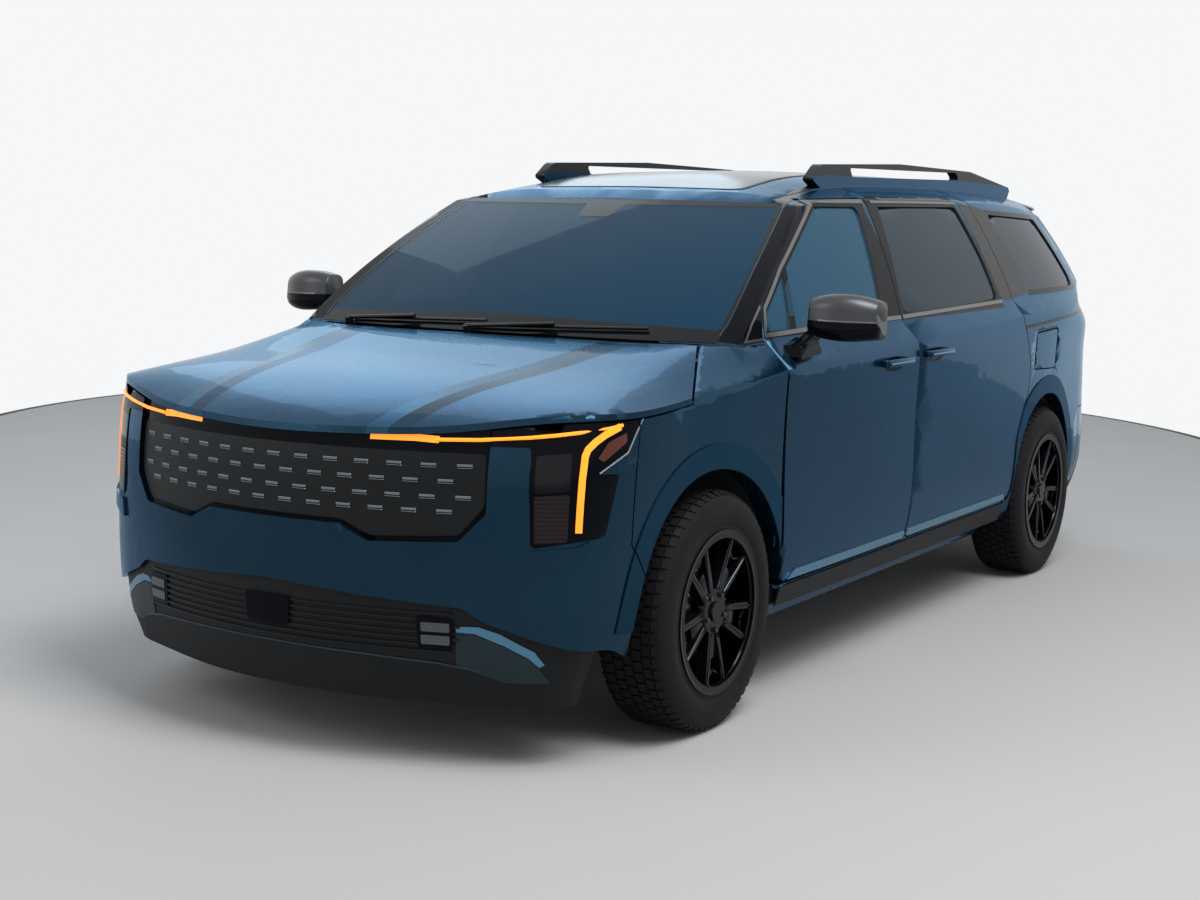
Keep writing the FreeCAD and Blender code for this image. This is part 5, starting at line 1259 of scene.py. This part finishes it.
class MINIVAN_OT_seats(bpy.types.Operator):
    """Padded cushions and backs, swollen by a short cloth simulation"""
    bl_idname = "minivan.seats"
    bl_label = "Seats"

    def execute(self, context):
        lean = math.atan2(170, 430)
        pads = {"cushion": self.pad(context, (410, 400, 46)), "back": self.pad(context, (46, 380, 400))}
        rows = (("front", 250, 285, (-380, 380)), ("middle", -620, 285, (-380, 380)),
                ("rear", -1560, 470, (-395, 0, 395)))
        for row, x, base, places in rows:
            for index, y in enumerate(places):
                spots = {
                    "cushion": (Vector((x + 275, y, base + 336)), math.radians(-4.2)),
                    "back": (Vector((x - 18, y, base + 548)), -lean)}
                for kind, (spot, turn) in spots.items():
                    mesh = pads[kind].copy()
                    mesh.transform(Matrix.Translation(spot * MM) @ Matrix.Rotation(turn, 4, "Y"))
                    piece = bpy.data.objects.new(f"pad_{kind}_{row}_{index}", mesh)
                    context.scene.collection.objects.link(piece)
                    mesh.materials.append(FINISHES["seat_leather"])
                    smooth = piece.modifiers.new("smooth", "SUBSURF")
                    smooth.levels = 1
                    smooth.render_levels = 1
                    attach(piece, "body")
        return {"FINISHED"}

    def pad(self, context, size):
        bm = bmesh.new()
        block(bm, (0, 0, 0), size, None, 18, 3)
        for face in bm.faces:
            face.smooth = True
        mesh = bpy.data.meshes.new("pad")
        bm.to_mesh(mesh)
        bm.free()
        piece = bpy.data.objects.new("pad", mesh)
        context.scene.collection.objects.link(piece)
        grid = piece.modifiers.new("grid", "REMESH")
        grid.mode = "VOXEL"
        grid.voxel_size = 0.012
        grid.use_smooth_shade = True
        mesh = self.baked(context, piece)
        piece.modifiers.clear()
        piece.data = mesh
        start = [vertex.co.copy() for vertex in mesh.vertices]
        cloth = piece.modifiers.new("cloth", "CLOTH")
        cloth.settings.use_pressure = True
        cloth.settings.uniform_pressure_force = 4.0
        cloth.settings.effector_weights.gravity = 0.0
        for moment in range(1, 21):
            context.scene.frame_set(moment)
        swollen = self.baked(context, piece)
        for vertex, before in zip(swollen.vertices, start):
            moved = vertex.co - before
            if moved.length > 0.012:
                vertex.co = before + moved.normalized() * 0.012
        piece.modifiers.clear()
        context.scene.frame_set(1)
        bpy.data.objects.remove(piece)
        return swollen

    def baked(self, context, piece):
        context.view_layer.update()
        graph = context.evaluated_depsgraph_get()
        return bpy.data.meshes.new_from_object(piece.evaluated_get(graph))


SKIN_FINISH = {
    "grille": "gloss_black", "roof_rails": "satin_black", "lower_fascia": "grained_black",
    "sill_trims": "grained_black", "wheel_liners": "grained_black", "cowl_and_wipers": "grained_black",
    "dashboard": "cabin_plastic", "steering_wheel": "cabin_plastic", "mirror_left": "satin_cap",
    "mirror_right": "satin_cap", "windshield": "windshield_glass", "rear_side_glass": "privacy_glass",
    "front_door_glass_left": "front_glass", "front_door_glass_right": "front_glass",
    "tailgate_glass": "privacy_glass", "headlamps": "gloss_black", "tail_lamps": "red_lens",
    "floor_pan": "cabin_carpet", "front_subframe": "chassis_black", "rear_suspension": "chassis_black",
    "knuckle_left": "disc_steel", "knuckle_right": "disc_steel", "engine_block": "cast_metal",
    "exhaust": "exhaust_steel", "front_seats": "seat_leather", "middle_seats": "seat_leather",
    "rear_bench": "seat_leather", "hood": "hood_paint",
}


class MINIVAN_PT_sidebar(bpy.types.Panel):
    """Buttons and sizes of the minivan"""
    bl_idname = "MINIVAN_PT_sidebar"
    bl_label = "Minivan"
    bl_space_type = "VIEW_3D"
    bl_region_type = "UI"
    bl_category = "Minivan"

    def draw(self, context):
        layout = self.layout
        for group in (context.scene.minivan_paint, context.scene.minivan_sizes,
                      context.scene.minivan_camera):
            for name in group.__annotations__:
                layout.prop(group, name)
        for operator in OPERATORS:
            layout.operator(operator.bl_idname)


GROUPS = (MinivanPaint, MinivanSizes, MinivanCamera)
OPERATORS = (
    MINIVAN_OT_stage, MINIVAN_OT_skins, MINIVAN_OT_grille, MINIVAN_OT_lamps, MINIVAN_OT_bumper,
    MINIVAN_OT_windows, MINIVAN_OT_sides, MINIVAN_OT_mirrors, MINIVAN_OT_roof, MINIVAN_OT_wheels,
    MINIVAN_OT_rear, MINIVAN_OT_cabin, MINIVAN_OT_seats)


def register():
    for item in (*GROUPS, *OPERATORS, MINIVAN_PT_sidebar):
        bpy.utils.register_class(item)
    bpy.types.Scene.minivan_paint = bpy.props.PointerProperty(type=MinivanPaint)
    bpy.types.Scene.minivan_sizes = bpy.props.PointerProperty(type=MinivanSizes)
    bpy.types.Scene.minivan_camera = bpy.props.PointerProperty(type=MinivanCamera)


def unregister():
    for name in ("minivan_paint", "minivan_sizes", "minivan_camera"):
        delattr(bpy.types.Scene, name)
    for item in reversed((*GROUPS, *OPERATORS, MINIVAN_PT_sidebar)):
        bpy.utils.unregister_class(item)


def main():
    """Build every piece in order."""
    register()
    make_finishes()
    bpy.ops.minivan.stage()
    bpy.ops.minivan.skins()
    bpy.ops.minivan.grille()
    bpy.ops.minivan.lamps()
    bpy.ops.minivan.bumper()
    bpy.ops.minivan.windows()
    bpy.ops.minivan.sides()
    bpy.ops.minivan.mirrors()
    bpy.ops.minivan.roof()
    bpy.ops.minivan.wheels()
    bpy.ops.minivan.rear()
    bpy.ops.minivan.cabin()
    bpy.ops.minivan.seats()


if __name__ == "__main__":
    main()
